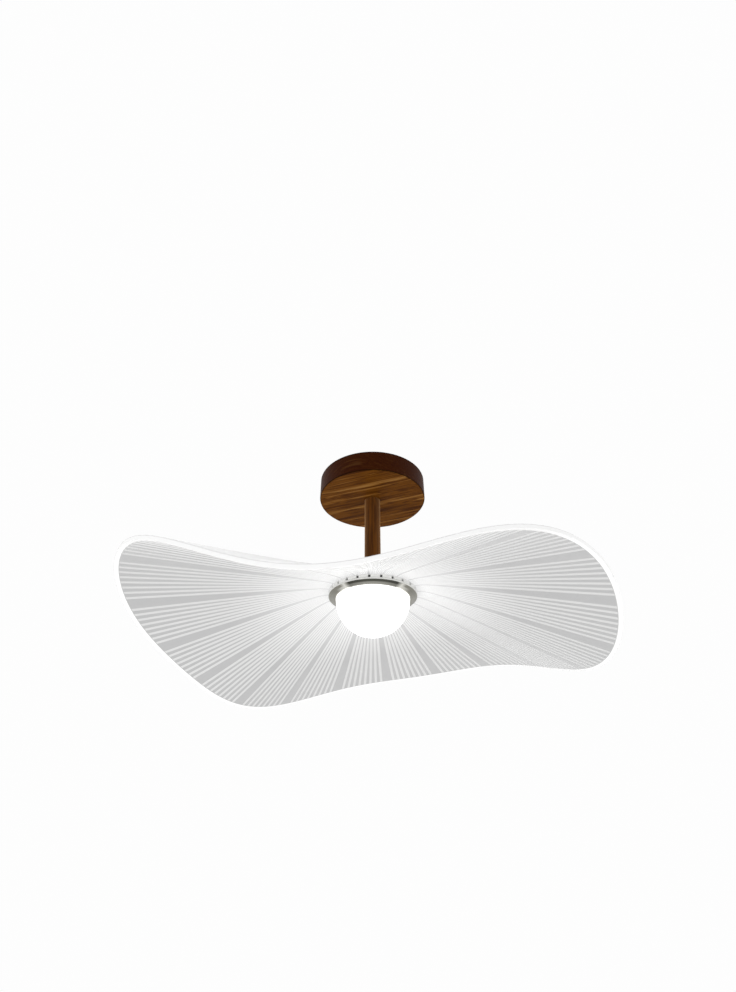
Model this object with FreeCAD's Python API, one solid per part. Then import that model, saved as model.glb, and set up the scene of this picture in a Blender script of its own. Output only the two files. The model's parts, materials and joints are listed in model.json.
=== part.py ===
"""Semi-flush ceiling light: walnut canopy and stem, wavy edge-lit acrylic shade, opal dome.

Millimetres. The origin is on the stem's axis in the ceiling plane, +Z is up, +X is to the
viewer's right and +Y points away from the viewer. Every piece goes to parts/NODE.step.
"""
import FreeCAD, Part
import math
import os
from collections import namedtuple

Screw = namedtuple("Screw", "head_radius head_height shank_radius shank_length")

# Canopy: the turned wooden cover against the ceiling
CANOPY_DIAMETER = 120.0
CANOPY_HEIGHT = 24.5
CANOPY_WALL = 4.0
CANOPY_FLOOR = 3.0
CANOPY_EDGE_ROUND = 1.0
CANOPY_CEILING_GAP = 0.5
CANOPY_STEM_GAP = 0.3

# Ceiling plate: steel disc with a welded grip band and a drawn cup that carries the stem
PAN_SHEET = 1.5
BAND_LOW = 11.5
PAN_SIDE_GAP = 4.0
CUP_RADIUS = 18.0
CUP_FLOOR_GAP = 4.5
FIXING_SPACING = 50.8
FIXING_HOLE_RADIUS = 2.25
GROMMET_BORE_RADIUS = 4.0
GROMMET_WALL = 2.0
GROMMET_LIP = 1.5
GROMMET_ANGLE = 215.0
EARTH_ANGLE = 165.0

# Driver and terminal block under the plate
PAD_THICKNESS = 1.0
DRIVER_CUP_GAP = 2.5
DRIVER_RIM_GAP = 11.0
DRIVER_CORNER_GAP = 2.1
DRIVER_FLOOR_GAP = 4.5
DRIVER_EDGE_ROUND = 1.5
EAR_LENGTH = 6.0
EAR_WIDTH = 9.0
EAR_THICKNESS = 1.6
EAR_HOLE_RADIUS = 1.7
BLOCK_LENGTH = 27.0
BLOCK_CUP_GAP = 4.5
BLOCK_RIM_GAP = 12.0
BLOCK_FLOOR_GAP = 7.5
BLOCK_POLES = 3
BLOCK_BASE = 10.5
BLOCK_TOWER_RADIUS = 3.2
BLOCK_NOTCH = 2.0
BLOCK_ENTRY_RADIUS = 1.9
BLOCK_ENTRY_DEPTH = 6.0
TERMINAL_SCREW_RADIUS = 1.6
TERMINAL_SCREW_HEAD = 0.8

# Stem: wooden sleeve over a threaded steel tube
STEM_DIAMETER = 17.5
STEM_LENGTH = 99.3
TUBE_DIAMETER = 10.0
TUBE_BORE = 7.6
SLEEVE_TUBE_GAP = 0.3
STEM_WASHER_RADIUS = 13.0
STEM_WASHER = 1.5
NUT_FLATS = 14.0
NUT_HEIGHT = 5.0
HUB_NUT_HEIGHT = 3.5
TUBE_PROUD = 0.5
SNUG_GAP = 0.05

# Hub: the cap above the shade, the heat sink inside it and the clamp ring below
RING_DIAMETER = 90.8
RING_EDGE = 2.0
RING_EDGE_BREAK = 0.3
RING_DEPTH = 4.6
RING_PLATE = 2.0
RING_LIP = 1.6
CLAMP_WIDTH = 6.4
UPPER_GASKET = 0.8
LOWER_GASKET = 3.0
GASKET_INSET = 0.4
CAP_HEIGHT = 16.0
CAP_OVERHANG = 0.6
CAP_FLANGE = 1.5
CAP_WALL = 2.7
CAP_SHOULDER = 7.0
CAP_TOP_RADIUS = 14.0
CAP_CAVITY_HEIGHT = 6.0
SINK_CAP_GAP = 0.8

# Edge light: flexible strip round the heat sink with long side-view emitters
STRIP_THICKNESS = 0.4
STRIP_GLUE = 0.1
STRIP_END_GAP = 0.5
EMITTER_COUNT = 20
EMITTER_GAP_ANGLE = 12.4
EMITTER_SWEEP = 15.4
EMITTER_DEPTH = 1.5
EMITTER_HEIGHT = 3.0
EMITTER_PANEL_GAP = 1.1

# Shade: one acrylic disc, heat-formed into a drooping leaf with a waved rim
PANEL_THICKNESS = 4.0
PANEL_BORDER = 4.0
PANEL_FLAT_MARGIN = 2.5
RIM_RADIUS = 219.7
RIM_DROOP = 46.7
PLAN_SHIFT = 5.7
PLAN_OVAL = 7.8
PLAN_LOBES = 6.8
PLAN_FOLDS = 3.8
HEIGHT_LEAN = 4.3
HEIGHT_SADDLE = 9.6
HEIGHT_LOBES = 21.5
HEIGHT_FOLDS = 7.8
HEIGHT_RIPPLE = 1.8
HEIGHT_FLUTES = 3.0
# waves of the rim: how many go round, size, angle of a crest in degrees
RIM_PLAN_WAVES = ((1, PLAN_SHIFT, -103.3), (2, PLAN_OVAL, 26.6), (3, PLAN_LOBES, -21.5),
                  (4, PLAN_FOLDS, 32.9))
RIM_HEIGHT_WAVES = ((1, HEIGHT_LEAN, 35.8), (2, HEIGHT_SADDLE, 45.8), (3, HEIGHT_LOBES, -44.7),
                    (4, HEIGHT_FOLDS, 36.0), (5, HEIGHT_RIPPLE, 19.3), (6, HEIGHT_FLUTES, -19.5))
DROOP_START = 0.05
POLES_ROUND = 72
FLAT_ROWS = 5
SLOPE_ROWS = 9

# Dome: blown opal diffuser on a three-lug twist lock
DOME_RADIUS = 37.7
DOME_WALL = 2.5
DOME_CENTRE_DROP = 4.5
DOME_RING_GAP = 0.3
DOME_PLATE_GAP = 0.4
LUG_COUNT = 3
DOME_LUG_SWEEP = 24.0
DOME_LUG_REACH = 3.2
DOME_LUG_DROP = 0.3
DOME_LUG_THICKNESS = 1.9
RING_LUG_SWEEP = 34.0
RING_LUG_THICKNESS = 1.6
LUG_SIDE_GAP = 0.5
LUG_OVERLAP = 1.8
LUG_SEAT_GAP = 0.3
LUG_STOP_SWEEP = 4.0
LUG_STOP_GAP = 0.6
NECK_WALL = 3.0

# Downlight board behind the dome
BOARD_THICKNESS = 1.6
BOARD_RING_GAP = 1.0
CHIP_COUNT = 12
CHIP_SIZE = 3.5
CHIP_HEIGHT = 0.8
CHIP_INSET = 6.0
CONNECTOR_LENGTH = 10.0
CONNECTOR_WIDTH = 7.0
CONNECTOR_HEIGHT = 5.0
CONNECTOR_WALL = 1.2
CONNECTOR_DEPTH = 3.5

# Screws and inserts
RING_SCREW_HEAD_RADIUS = 2.6
RING_SCREW_HEAD = 2.0
RING_SCREW_RADIUS = 1.5
RING_SCREW_LENGTH = 8.0
BOARD_SCREW_HEAD_RADIUS = 2.2
BOARD_SCREW_HEAD = 1.6
BOARD_SCREW_RADIUS = 1.25
BOARD_SCREW_LENGTH = 6.0
EARTH_SCREW_HEAD_RADIUS = 3.5
EARTH_SCREW_HEAD = 2.4
EARTH_SCREW_RADIUS = 2.0
HUB_SCREW_COUNT = 3
RING_SCREW_ANGLE = 60.0
BOARD_SCREW_ANGLE = 30.0
HEAD_ROUND = 0.7
SCREW_HOLE_GAP = 0.1
SCREW_HEAD_MARGIN = 0.6
GRUB_RADIUS = 2.0
GRUB_RECESS = 0.5
GRUB_TIP_GAP = 0.3
INSERT_WALL = 1.0

# Leads inside the light
LEAD_RADIUS = 1.5
LEAD_HOLE_GAP = 0.7
LEAD_TOP_GAP = 0.5
LEAD_BEND = 6.5
INPUT_RIM_GAP = 2.0
INPUT_STRAIGHT = 2.0
JUMPER_RADIUS = 0.8
JUMPER_GROOVE_GAP = 0.4

# Smallest step in height that counts
SAME_LEVEL = 1e-6

ring_screw = Screw(RING_SCREW_HEAD_RADIUS, RING_SCREW_HEAD, RING_SCREW_RADIUS, RING_SCREW_LENGTH)
board_screw = Screw(BOARD_SCREW_HEAD_RADIUS, BOARD_SCREW_HEAD, BOARD_SCREW_RADIUS, BOARD_SCREW_LENGTH)
earth_screw = Screw(EARTH_SCREW_HEAD_RADIUS, EARTH_SCREW_HEAD, EARTH_SCREW_RADIUS, PAN_SHEET)

# Levels, from the ceiling down
canopy_top = -CANOPY_CEILING_GAP
canopy_bottom = canopy_top - CANOPY_HEIGHT
canopy_inside = canopy_bottom + CANOPY_FLOOR
pan_under = -PAN_SHEET
cup_under = canopy_inside + CUP_FLOOR_GAP
cup_floor = cup_under + PAN_SHEET
tube_top = cup_floor + NUT_HEIGHT + TUBE_PROUD
sleeve_top = cup_under - STEM_WASHER
sleeve_bottom = sleeve_top - STEM_LENGTH
cap_bottom = sleeve_bottom - CAP_HEIGHT
cap_ceiling = cap_bottom + CAP_CAVITY_HEIGHT
panel_top = cap_bottom - UPPER_GASKET
panel_bottom = panel_top - PANEL_THICKNESS
ring_top = panel_bottom - LOWER_GASKET
plate_under = ring_top - RING_PLATE
board_under = ring_top - BOARD_THICKNESS
dome_centre = ring_top - DOME_CENTRE_DROP
dome_top = plate_under - DOME_PLATE_GAP

# Radii, from the axis out
canopy_radius = CANOPY_DIAMETER / 2
canopy_inner = canopy_radius - CANOPY_WALL
pan_radius = canopy_inner - PAN_SIDE_GAP
pan_inner = pan_radius - PAN_SHEET
tube_radius = TUBE_DIAMETER / 2
stem_radius = STEM_DIAMETER / 2
nut_corner = NUT_FLATS / 2 / math.cos(math.pi / 6)
pan_middle = (CUP_RADIUS + pan_inner) / 2
ring_radius = RING_DIAMETER / 2
panel_hole = ring_radius - CLAMP_WIDTH
strip_outer = panel_hole - EMITTER_PANEL_GAP - EMITTER_DEPTH
strip_inner = strip_outer - STRIP_THICKNESS
sink_radius = strip_inner - STRIP_GLUE
ring_bore = DOME_RADIUS + DOME_RING_GAP
dome_inner = DOME_RADIUS - DOME_WALL
dome_lug_inner = dome_inner - DOME_LUG_REACH
neck_outer = dome_lug_inner - LUG_SIDE_GAP
neck_inner = neck_outer - NECK_WALL
ring_lug_outer = dome_lug_inner + LUG_OVERLAP
ring_screw_circle = neck_inner - SCREW_HEAD_MARGIN - ring_screw.head_radius
plate_inner = ring_screw_circle - ring_screw.head_radius - SCREW_HEAD_MARGIN
board_radius = plate_inner - BOARD_RING_GAP
board_screw_circle = board_radius - SCREW_HEAD_MARGIN - board_screw.head_radius
chip_circle = board_radius - CHIP_INSET
sink_recess = nut_corner + SCREW_HEAD_MARGIN

# Driver and block: the room between the cup and the grip band
driver_near = CUP_RADIUS + DRIVER_CUP_GAP
driver_far = pan_inner - DRIVER_RIM_GAP
driver_half = math.sqrt((pan_inner - DRIVER_CORNER_GAP) ** 2 - driver_far ** 2)
driver_top = pan_under - PAD_THICKNESS
driver_bottom = canopy_inside + DRIVER_FLOOR_GAP
block_near = -(CUP_RADIUS + BLOCK_CUP_GAP)
block_far = -(pan_inner - BLOCK_RIM_GAP)
block_bottom = canopy_inside + BLOCK_FLOOR_GAP
lead_level = driver_top - LEAD_RADIUS - LEAD_TOP_GAP
input_level = (driver_top + driver_bottom) / 2

UP = FreeCAD.Vector(0, 0, 1)
ORIGIN = FreeCAD.Vector(0, 0, 0)


def at(x, y, z):
    return FreeCAD.Vector(x, y, z)


def polar(radius, degrees, z):
    turn = math.radians(degrees)
    return at(radius * math.cos(turn), radius * math.sin(turn), z)


def rod(radius, low, high, x=0.0, y=0.0):
    return Part.makeCylinder(radius, high - low, at(x, y, low))


def tube(inner, outer, low, high):
    return rod(outer, low, high).cut(rod(inner, low, high))


def block(x_low, x_high, y_low, y_high, z_low, z_high):
    return Part.makeBox(x_high - x_low, y_high - y_low, z_high - z_low, at(x_low, y_low, z_low))


def outline(corners):
    """Closed face in the XZ plane through (radius, height) corners."""
    points = [at(radius, 0, height) for radius, height in corners]
    return Part.Face(Part.makePolygon(points + points[:1]))


def turned(face):
    return face.revolve(ORIGIN, UP, 360)


def sector(inner, outer, low, high, middle, sweep):
    """Piece of a ring, centred on an angle."""
    face = outline(((inner, low), (outer, low), (outer, high), (inner, high)))
    face.rotate(ORIGIN, UP, middle - sweep / 2)
    return face.revolve(ORIGIN, UP, sweep)


def around(shape, count, first=0.0):
    """Copies of a shape, evenly spaced about the axis."""
    copies = []
    for index in range(count):
        copy = shape.copy()
        copy.rotate(ORIGIN, UP, first + 360.0 * index / count)
        copies.append(copy)
    return copies


def hex_nut(low, height):
    corners = [polar(nut_corner, 60 * side, low) for side in range(6)]
    body = Part.Face(Part.makePolygon(corners + corners[:1])).extrude(UP * height)
    return body.cut(rod(tube_radius + SNUG_GAP, low, low + height))


def pan_head_screw(screw, seat, x=0.0, y=0.0):
    """Screw driven upwards: its head hangs below the seat."""
    low = seat - screw.head_height
    head = rod(screw.head_radius, low, seat, x, y)
    head = head.makeFillet(HEAD_ROUND, [edge for edge in head.Edges if is_ring_at(edge, low)])
    return head.fuse(rod(screw.shank_radius, seat, seat + screw.shank_length, x, y)).removeSplitter()


def is_ring_at(edge, height):
    return isinstance(edge.Curve, Part.Circle) and abs(edge.Curve.Center.z - height) < SAME_LEVEL


def lead(edges, radius):
    """Round lead along a chain of lines and arcs."""
    path = Part.Wire(edges)
    start = edges[0]
    heading = start.tangentAt(start.FirstParameter)
    end = Part.Wire(Part.makeCircle(radius, start.valueAt(start.FirstParameter), heading))
    return path.makePipeShell([end], True, False)


def line(first, last):
    return Part.LineSegment(first, last).toShape()


def arc(first, middle, last):
    return Part.Arc(first, middle, last).toShape()


def quarter_middle(centre, first, last):
    """Point halfway along a quarter circle."""
    half = (first - centre) + (last - centre)
    return centre + half.normalize() * (first - centre).Length


def make_ceiling_plate():
    plate = tube(CUP_RADIUS - PAN_SHEET, pan_radius, pan_under, 0)
    for side in (-1, 1):
        plate = plate.cut(rod(FIXING_HOLE_RADIUS, pan_under, 0, side * FIXING_SPACING / 2))
    entry = polar(pan_middle, GROMMET_ANGLE, 0)
    plate = plate.cut(rod(GROMMET_BORE_RADIUS + GROMMET_WALL / 2 + SNUG_GAP, pan_under, 0, entry.x, entry.y))
    earth = polar(pan_middle, EARTH_ANGLE, 0)
    return plate.cut(rod(earth_screw.shank_radius + SNUG_GAP, pan_under, 0, earth.x, earth.y))


def make_grip_band():
    return tube(pan_inner, pan_radius, -BAND_LOW, pan_under)


def make_stem_cup():
    """Drawn cup under the plate, with the lead's hole in its wall."""
    inner = CUP_RADIUS - PAN_SHEET
    bore = tube_radius + SNUG_GAP
    cup = turned(outline((
        (bore, cup_under), (CUP_RADIUS, cup_under), (CUP_RADIUS, pan_under), (inner, pan_under),
        (inner, cup_floor), (bore, cup_floor))))
    lead_hole = Part.makeCylinder(LEAD_RADIUS + LEAD_HOLE_GAP, CUP_RADIUS, at(0, 0, lead_level), at(0, 1, 0))
    return cup.cut(lead_hole)


def make_cable_grommet():
    entry = polar(pan_middle, GROMMET_ANGLE, 0)
    neck = GROMMET_BORE_RADIUS + GROMMET_WALL / 2
    lip_low = pan_under - GROMMET_LIP
    body = rod(neck, pan_under, 0, entry.x, entry.y)
    body = body.fuse(rod(neck + GROMMET_WALL, lip_low, pan_under, entry.x, entry.y))
    return body.cut(rod(GROMMET_BORE_RADIUS, lip_low, 0, entry.x, entry.y)).removeSplitter()


def make_earth_screw():
    spot = polar(pan_middle, EARTH_ANGLE, 0)
    return pan_head_screw(earth_screw, pan_under, spot.x, spot.y)


def make_led_driver():
    """Moulded case with a fixing ear at each end."""
    case = block(-driver_half, driver_half, driver_near, driver_far, driver_bottom, driver_top)
    upright = [edge for edge in case.Edges if abs(edge.tangentAt(edge.FirstParameter).z) > 0.5]
    case = case.makeFillet(DRIVER_EDGE_ROUND, upright)
    middle = (driver_near + driver_far) / 2
    reach = driver_half + EAR_LENGTH - EAR_WIDTH / 2
    low = driver_top - EAR_THICKNESS
    ears = block(-reach, reach, middle - EAR_WIDTH / 2, middle + EAR_WIDTH / 2, low, driver_top)
    for side in (-reach, reach):
        ears = ears.fuse(rod(EAR_WIDTH / 2, low, driver_top, side, middle))
    case = case.fuse(ears).removeSplitter()
    for side in (-reach, reach):
        case = case.cut(rod(EAR_HOLE_RADIUS, low, driver_top, side, middle))
    return case


def make_driver_pad():
    inset = DRIVER_EDGE_ROUND
    return block(-driver_half + inset, driver_half - inset, driver_near + inset, driver_far - inset,
                 driver_top, pan_under)


def block_pole_x(pole):
    pitch = BLOCK_LENGTH / BLOCK_POLES
    return -BLOCK_LENGTH / 2 + pitch * (pole + 0.5)


def block_towers(radius, low, high):
    """Upright rods where the terminal screws sit, two to each pole."""
    towers = []
    for pole in range(BLOCK_POLES):
        for share in (0.25, 0.75):
            y = block_far + share * (block_near - block_far)
            towers.append(rod(radius, low, high, block_pole_x(pole), y))
    return towers


def make_terminal_block():
    """Base bar notched between the poles, with a tower over each clamp screw."""
    base_low = pan_under - BLOCK_BASE
    body = block(-BLOCK_LENGTH / 2, BLOCK_LENGTH / 2, block_far, block_near, base_low, pan_under)
    level = (base_low + pan_under) / 2
    for pole in range(BLOCK_POLES):
        mouth = at(block_pole_x(pole), block_far, level)
        body = body.cut(Part.makeCylinder(BLOCK_ENTRY_RADIUS, BLOCK_ENTRY_DEPTH, mouth, at(0, 1, 0)))
    pitch = BLOCK_LENGTH / BLOCK_POLES
    for pole in range(1, BLOCK_POLES):
        x = block_pole_x(pole) - pitch / 2
        for y in (block_far, block_near):
            body = body.cut(rod(BLOCK_NOTCH, base_low, pan_under, x, y))
    return body.multiFuse(block_towers(BLOCK_TOWER_RADIUS, block_bottom, base_low)).removeSplitter()


def make_terminal_screws():
    head_low = block_bottom - TERMINAL_SCREW_HEAD
    return Part.makeCompound(block_towers(TERMINAL_SCREW_RADIUS, head_low, block_bottom))


def make_input_lead():
    """Supply lead from the block round the cup to the driver's end."""
    block_y = (block_far + block_near) / 2
    driver_y = (driver_near + driver_far) / 2
    bend_x = driver_half + INPUT_STRAIGHT
    # the widest bend that keeps its gap to the grip band
    reach = pan_inner - INPUT_RIM_GAP - LEAD_RADIUS
    bend = (reach ** 2 - bend_x ** 2 - driver_y ** 2) / (2 * (reach - driver_y))
    side = bend_x + bend
    first_centre = at(bend_x, block_y + bend, input_level)
    last_centre = at(bend_x, driver_y - bend, input_level)
    out_end = at(first_centre.x, block_y, input_level)
    side_start = at(side, first_centre.y, input_level)
    side_end = at(side, last_centre.y, input_level)
    back_start = at(last_centre.x, driver_y, input_level)
    edges = [line(at(BLOCK_LENGTH / 2, block_y, input_level), out_end),
             arc(out_end, quarter_middle(first_centre, out_end, side_start), side_start),
             line(side_start, side_end),
             arc(side_end, quarter_middle(last_centre, side_end, back_start), back_start),
             line(back_start, at(driver_half, driver_y, input_level))]
    return lead(edges, LEAD_RADIUS)


def make_stem_lead():
    """Low-voltage lead from the driver over the tube's end and down to the board."""
    bend_centre = at(0, LEAD_BEND, lead_level - LEAD_BEND)
    bend_start = at(0, LEAD_BEND, lead_level)
    bend_end = at(0, 0, lead_level - LEAD_BEND)
    edges = [line(at(0, driver_near, lead_level), bend_start),
             arc(bend_start, quarter_middle(bend_centre, bend_start, bend_end), bend_end),
             line(bend_end, at(0, 0, board_under))]
    return lead(edges, LEAD_RADIUS)


def make_stem_tube():
    return tube(TUBE_BORE / 2, tube_radius, hub_nut_low() - TUBE_PROUD, tube_top)


def hub_nut_low():
    return cap_ceiling - sink_web() - HUB_NUT_HEIGHT


def sink_web():
    """Metal left between the heat sink's top and its nut recess."""
    return CAP_CAVITY_HEIGHT - SINK_CAP_GAP


def make_stem_sleeve():
    return tube(tube_radius + SLEEVE_TUBE_GAP, stem_radius, sleeve_bottom, sleeve_top)


def make_hub_cap():
    """Turned bell above the shade, with a cavity for the heat sink."""
    flange = ring_radius + CAP_OVERHANG
    cavity = sink_radius + SINK_CAP_GAP
    wall = cavity + CAP_WALL
    flange_top = cap_bottom + CAP_FLANGE
    bore = tube_radius + SLEEVE_TUBE_GAP
    shoulder = at(wall, 0, cap_bottom + CAP_SHOULDER)
    crown = at(CAP_TOP_RADIUS, 0, sleeve_bottom)
    # the bell's arc leaves the flat top without a corner
    run = shoulder.x - crown.x
    rise = crown.z - shoulder.z
    bell_radius = (run ** 2 + rise ** 2) / (2 * rise)
    half_turn = math.asin(run / bell_radius) / 2
    bell_middle = crown + at(bell_radius * math.sin(half_turn), 0, bell_radius * (math.cos(half_turn) - 1))
    corners = [crown, at(bore, 0, sleeve_bottom), at(bore, 0, cap_ceiling), at(cavity, 0, cap_ceiling),
               at(cavity, 0, cap_bottom), at(flange, 0, cap_bottom), at(flange, 0, flange_top),
               at(wall, 0, flange_top), shoulder]
    edges = [line(first, last) for first, last in zip(corners, corners[1:])]
    edges.append(arc(shoulder, bell_middle, crown))
    return turned(Part.Face(Part.Wire(edges)))


def screw_holes(screw, seat, circle, first, gap):
    """Holes for a circle of screws, from the seat up to the screws' tips."""
    hole = rod(screw.shank_radius + gap, seat, seat + screw.shank_length, circle)
    return Part.makeCompound(around(hole, HUB_SCREW_COUNT, first))


def make_heat_sink():
    sink = rod(sink_radius, ring_top, cap_ceiling)
    sink = sink.cut(rod(tube_radius + SNUG_GAP, ring_top, cap_ceiling))
    sink = sink.cut(rod(sink_recess, ring_top, cap_ceiling - sink_web()))
    half_groove = JUMPER_RADIUS + JUMPER_GROOVE_GAP
    sink = sink.cut(block(0, sink_radius, -half_groove, half_groove, ring_top, ring_top + 2 * half_groove))
    ring_holes = screw_holes(ring_screw, plate_under, ring_screw_circle, RING_SCREW_ANGLE, SNUG_GAP)
    board_holes = screw_holes(board_screw, board_under, board_screw_circle, BOARD_SCREW_ANGLE, SNUG_GAP)
    return sink.cut(ring_holes).cut(board_holes)


def make_edge_strip():
    return tube(strip_inner, strip_outer, ring_top + STRIP_END_GAP, panel_top)


def make_edge_emitters():
    middle = (panel_top + panel_bottom) / 2
    emitter = sector(strip_outer + SNUG_GAP, strip_outer + EMITTER_DEPTH, middle - EMITTER_HEIGHT / 2,
                     middle + EMITTER_HEIGHT / 2, 0, EMITTER_SWEEP)
    return Part.makeCompound(around(emitter, EMITTER_COUNT, EMITTER_GAP_ANGLE + 180.0 / EMITTER_COUNT))


def make_strip_jumper():
    level = ring_top + JUMPER_GROOVE_GAP + JUMPER_RADIUS
    return lead([line(at(sink_recess, 0, level), at(sink_radius, 0, level))], JUMPER_RADIUS)


def make_gasket(low, high):
    return tube(panel_hole + GASKET_INSET, ring_radius - GASKET_INSET, low, high)


def wave_sum(waves, degrees):
    return sum(size * math.cos(math.radians(order * (degrees - crest))) for order, size, crest in waves)


def make_shade():
    """Periodic spline skin over rings of poles, thickened upwards."""
    step = 360.0 / POLES_ROUND
    # a ring of cubic poles draws inwards by this much
    stretch = 3.0 / (2.0 + math.cos(math.radians(step)))
    flat_edge = ring_radius + PANEL_FLAT_MARGIN
    poles = []
    for index in range(POLES_ROUND):
        turn = index * step
        rim = RIM_RADIUS + PANEL_BORDER + wave_sum(RIM_PLAN_WAVES, turn)
        drop = panel_bottom - ring_top + RIM_DROOP - wave_sum(RIM_HEIGHT_WAVES, turn)
        ray = []
        for row in range(FLAT_ROWS):
            radius = panel_hole + (flat_edge - panel_hole) * row / (FLAT_ROWS - 1)
            ray.append(polar(radius * stretch, turn, panel_bottom))
        for row in range(1, SLOPE_ROWS + 1):
            share = row / SLOPE_ROWS
            fall = share ** 2 * (1 + DROOP_START) / (share + DROOP_START)
            radius = flat_edge + (rim - flat_edge) * share
            ray.append(polar(radius * stretch, turn, panel_bottom - drop * fall))
        poles.append(ray)
    rows = FLAT_ROWS + SLOPE_ROWS
    skin = Part.BSplineSurface()
    skin.buildFromPolesMultsKnots(
        poles, [1] * (POLES_ROUND + 1), [4] + [1] * (rows - 4) + [4],
        [float(knot) for knot in range(POLES_ROUND + 1)], [float(knot) for knot in range(rows - 2)],
        True, False, 3, 3)
    under = skin.toShape()
    upper = under.copy()
    upper.translate(UP * PANEL_THICKNESS)
    low_edges = [edge for edge in under.Edges if edge.isClosed()]
    high_edges = [edge for edge in upper.Edges if edge.isClosed()]
    walls = [Part.makeRuledSurface(low, high) for low, high in zip(low_edges, high_edges)]
    shell = Part.Shell([under, upper] + walls)
    shell.sewShape()
    solid = Part.Solid(shell)
    if solid.Volume < 0:
        solid.reverse()
    return solid


def make_clamp_ring():
    """Conical bezel with the inner neck and lugs of the twist lock."""
    lip_low = ring_top - RING_DEPTH
    lug_top = dome_top - DOME_LUG_DROP - DOME_LUG_THICKNESS - LUG_SEAT_GAP
    lug_low = lug_top - RING_LUG_THICKNESS
    ring = turned(outline((
        (plate_inner, ring_top), (ring_radius - RING_EDGE_BREAK, ring_top),
        (ring_radius, ring_top - RING_EDGE_BREAK), (ring_radius, ring_top - RING_EDGE),
        (ring_bore + RING_LIP, lip_low), (ring_bore, lip_low), (ring_bore, plate_under),
        (neck_outer, plate_under), (neck_outer, lug_low), (neck_inner, lug_low),
        (neck_inner, plate_under), (plate_inner, plate_under))))
    lug = sector(neck_outer - NECK_WALL / 2, ring_lug_outer, lug_low, lug_top, 0, RING_LUG_SWEEP)
    stop_middle = -(DOME_LUG_SWEEP + LUG_STOP_SWEEP) / 2 - LUG_STOP_GAP
    stop = sector(neck_outer - NECK_WALL / 2, ring_lug_outer, lug_low, plate_under, stop_middle,
                  LUG_STOP_SWEEP)
    ring = ring.multiFuse(around(lug, LUG_COUNT) + around(stop, LUG_COUNT)).removeSplitter()
    holes = screw_holes(ring_screw, plate_under, ring_screw_circle, RING_SCREW_ANGLE, SCREW_HOLE_GAP)
    return ring.cut(holes)


def make_ring_screws():
    screw = pan_head_screw(ring_screw, plate_under, ring_screw_circle)
    return Part.makeCompound(around(screw, HUB_SCREW_COUNT, RING_SCREW_ANGLE))


def make_board_screws():
    screw = pan_head_screw(board_screw, board_under, board_screw_circle)
    return Part.makeCompound(around(screw, HUB_SCREW_COUNT, BOARD_SCREW_ANGLE))


def make_downlight_board():
    board = tube(LEAD_RADIUS + SCREW_HOLE_GAP, board_radius, board_under, ring_top)
    holes = screw_holes(board_screw, board_under, board_screw_circle, BOARD_SCREW_ANGLE, SCREW_HOLE_GAP)
    return board.cut(holes)


def make_downlight_chips():
    half = CHIP_SIZE / 2
    chip = block(chip_circle - half, chip_circle + half, -half, half, board_under - CHIP_HEIGHT, board_under)
    return Part.makeCompound(around(chip, CHIP_COUNT, 180.0 / CHIP_COUNT))


def make_board_connector():
    """Plug housing, open below, with a latch slot in one wall."""
    half_length = CONNECTOR_LENGTH / 2
    half_width = CONNECTOR_WIDTH / 2
    low = board_under - CONNECTOR_HEIGHT
    shell = block(-half_length, half_length, -half_width, half_width, low, board_under)
    mouth_half_length = half_length - CONNECTOR_WALL
    mouth_half_width = half_width - CONNECTOR_WALL
    mouth_top = low + CONNECTOR_DEPTH
    shell = shell.cut(block(-mouth_half_length, mouth_half_length, -mouth_half_width, mouth_half_width,
                            low, mouth_top))
    return shell.cut(block(-half_length / 2, half_length / 2, -half_width, 0, low, mouth_top))


def make_dome():
    """Opal hemisphere with a short collar and three inward lugs."""
    outer_low = at(0, 0, dome_centre - DOME_RADIUS)
    inner_low = at(0, 0, dome_centre - dome_inner)
    slant = math.sqrt(0.5)
    edges = [line(at(dome_inner, 0, dome_centre), at(dome_inner, 0, dome_top)),
             line(at(dome_inner, 0, dome_top), at(DOME_RADIUS, 0, dome_top)),
             line(at(DOME_RADIUS, 0, dome_top), at(DOME_RADIUS, 0, dome_centre)),
             arc(at(DOME_RADIUS, 0, dome_centre),
                 at(DOME_RADIUS * slant, 0, dome_centre - DOME_RADIUS * slant), outer_low),
             line(outer_low, inner_low),
             arc(inner_low, at(dome_inner * slant, 0, dome_centre - dome_inner * slant),
                 at(dome_inner, 0, dome_centre))]
    shell = turned(Part.Face(Part.Wire(edges)))
    lug_top = dome_top - DOME_LUG_DROP
    lug_low = lug_top - DOME_LUG_THICKNESS
    lug = sector(dome_lug_inner, dome_inner + DOME_WALL / 2, lug_low, lug_top, 0, DOME_LUG_SWEEP)
    return shell.multiFuse(around(lug, LUG_COUNT)).removeSplitter()


def make_canopy():
    cup = rod(canopy_radius, canopy_bottom, canopy_top)
    cup = cup.makeFillet(CANOPY_EDGE_ROUND, [edge for edge in cup.Edges if is_ring_at(edge, canopy_bottom)])
    cup = cup.cut(rod(canopy_inner, canopy_inside, canopy_top))
    cup = cup.cut(rod(stem_radius + CANOPY_STEM_GAP, canopy_bottom, canopy_inside))
    for hole in grub_pair(GRUB_RADIUS + INSERT_WALL + SNUG_GAP, canopy_inner - CANOPY_WALL, canopy_radius):
        cup = cup.cut(hole)
    return cup


def grub_pair(radius, inner, outer):
    """Two radial rods, left and right, level with the grip band."""
    level = -BAND_LOW / 2
    length = outer - inner
    return [Part.makeCylinder(radius, length, at(side * inner, 0, level), at(side, 0, 0)) for side in (-1, 1)]


def make_canopy_inserts():
    sleeve_end = canopy_radius - GRUB_RECESS
    outers = grub_pair(GRUB_RADIUS + INSERT_WALL, canopy_inner, sleeve_end)
    bores = grub_pair(GRUB_RADIUS + SNUG_GAP, canopy_inner, sleeve_end)
    return Part.makeCompound([outer.cut(bore) for outer, bore in zip(outers, bores)])


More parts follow.
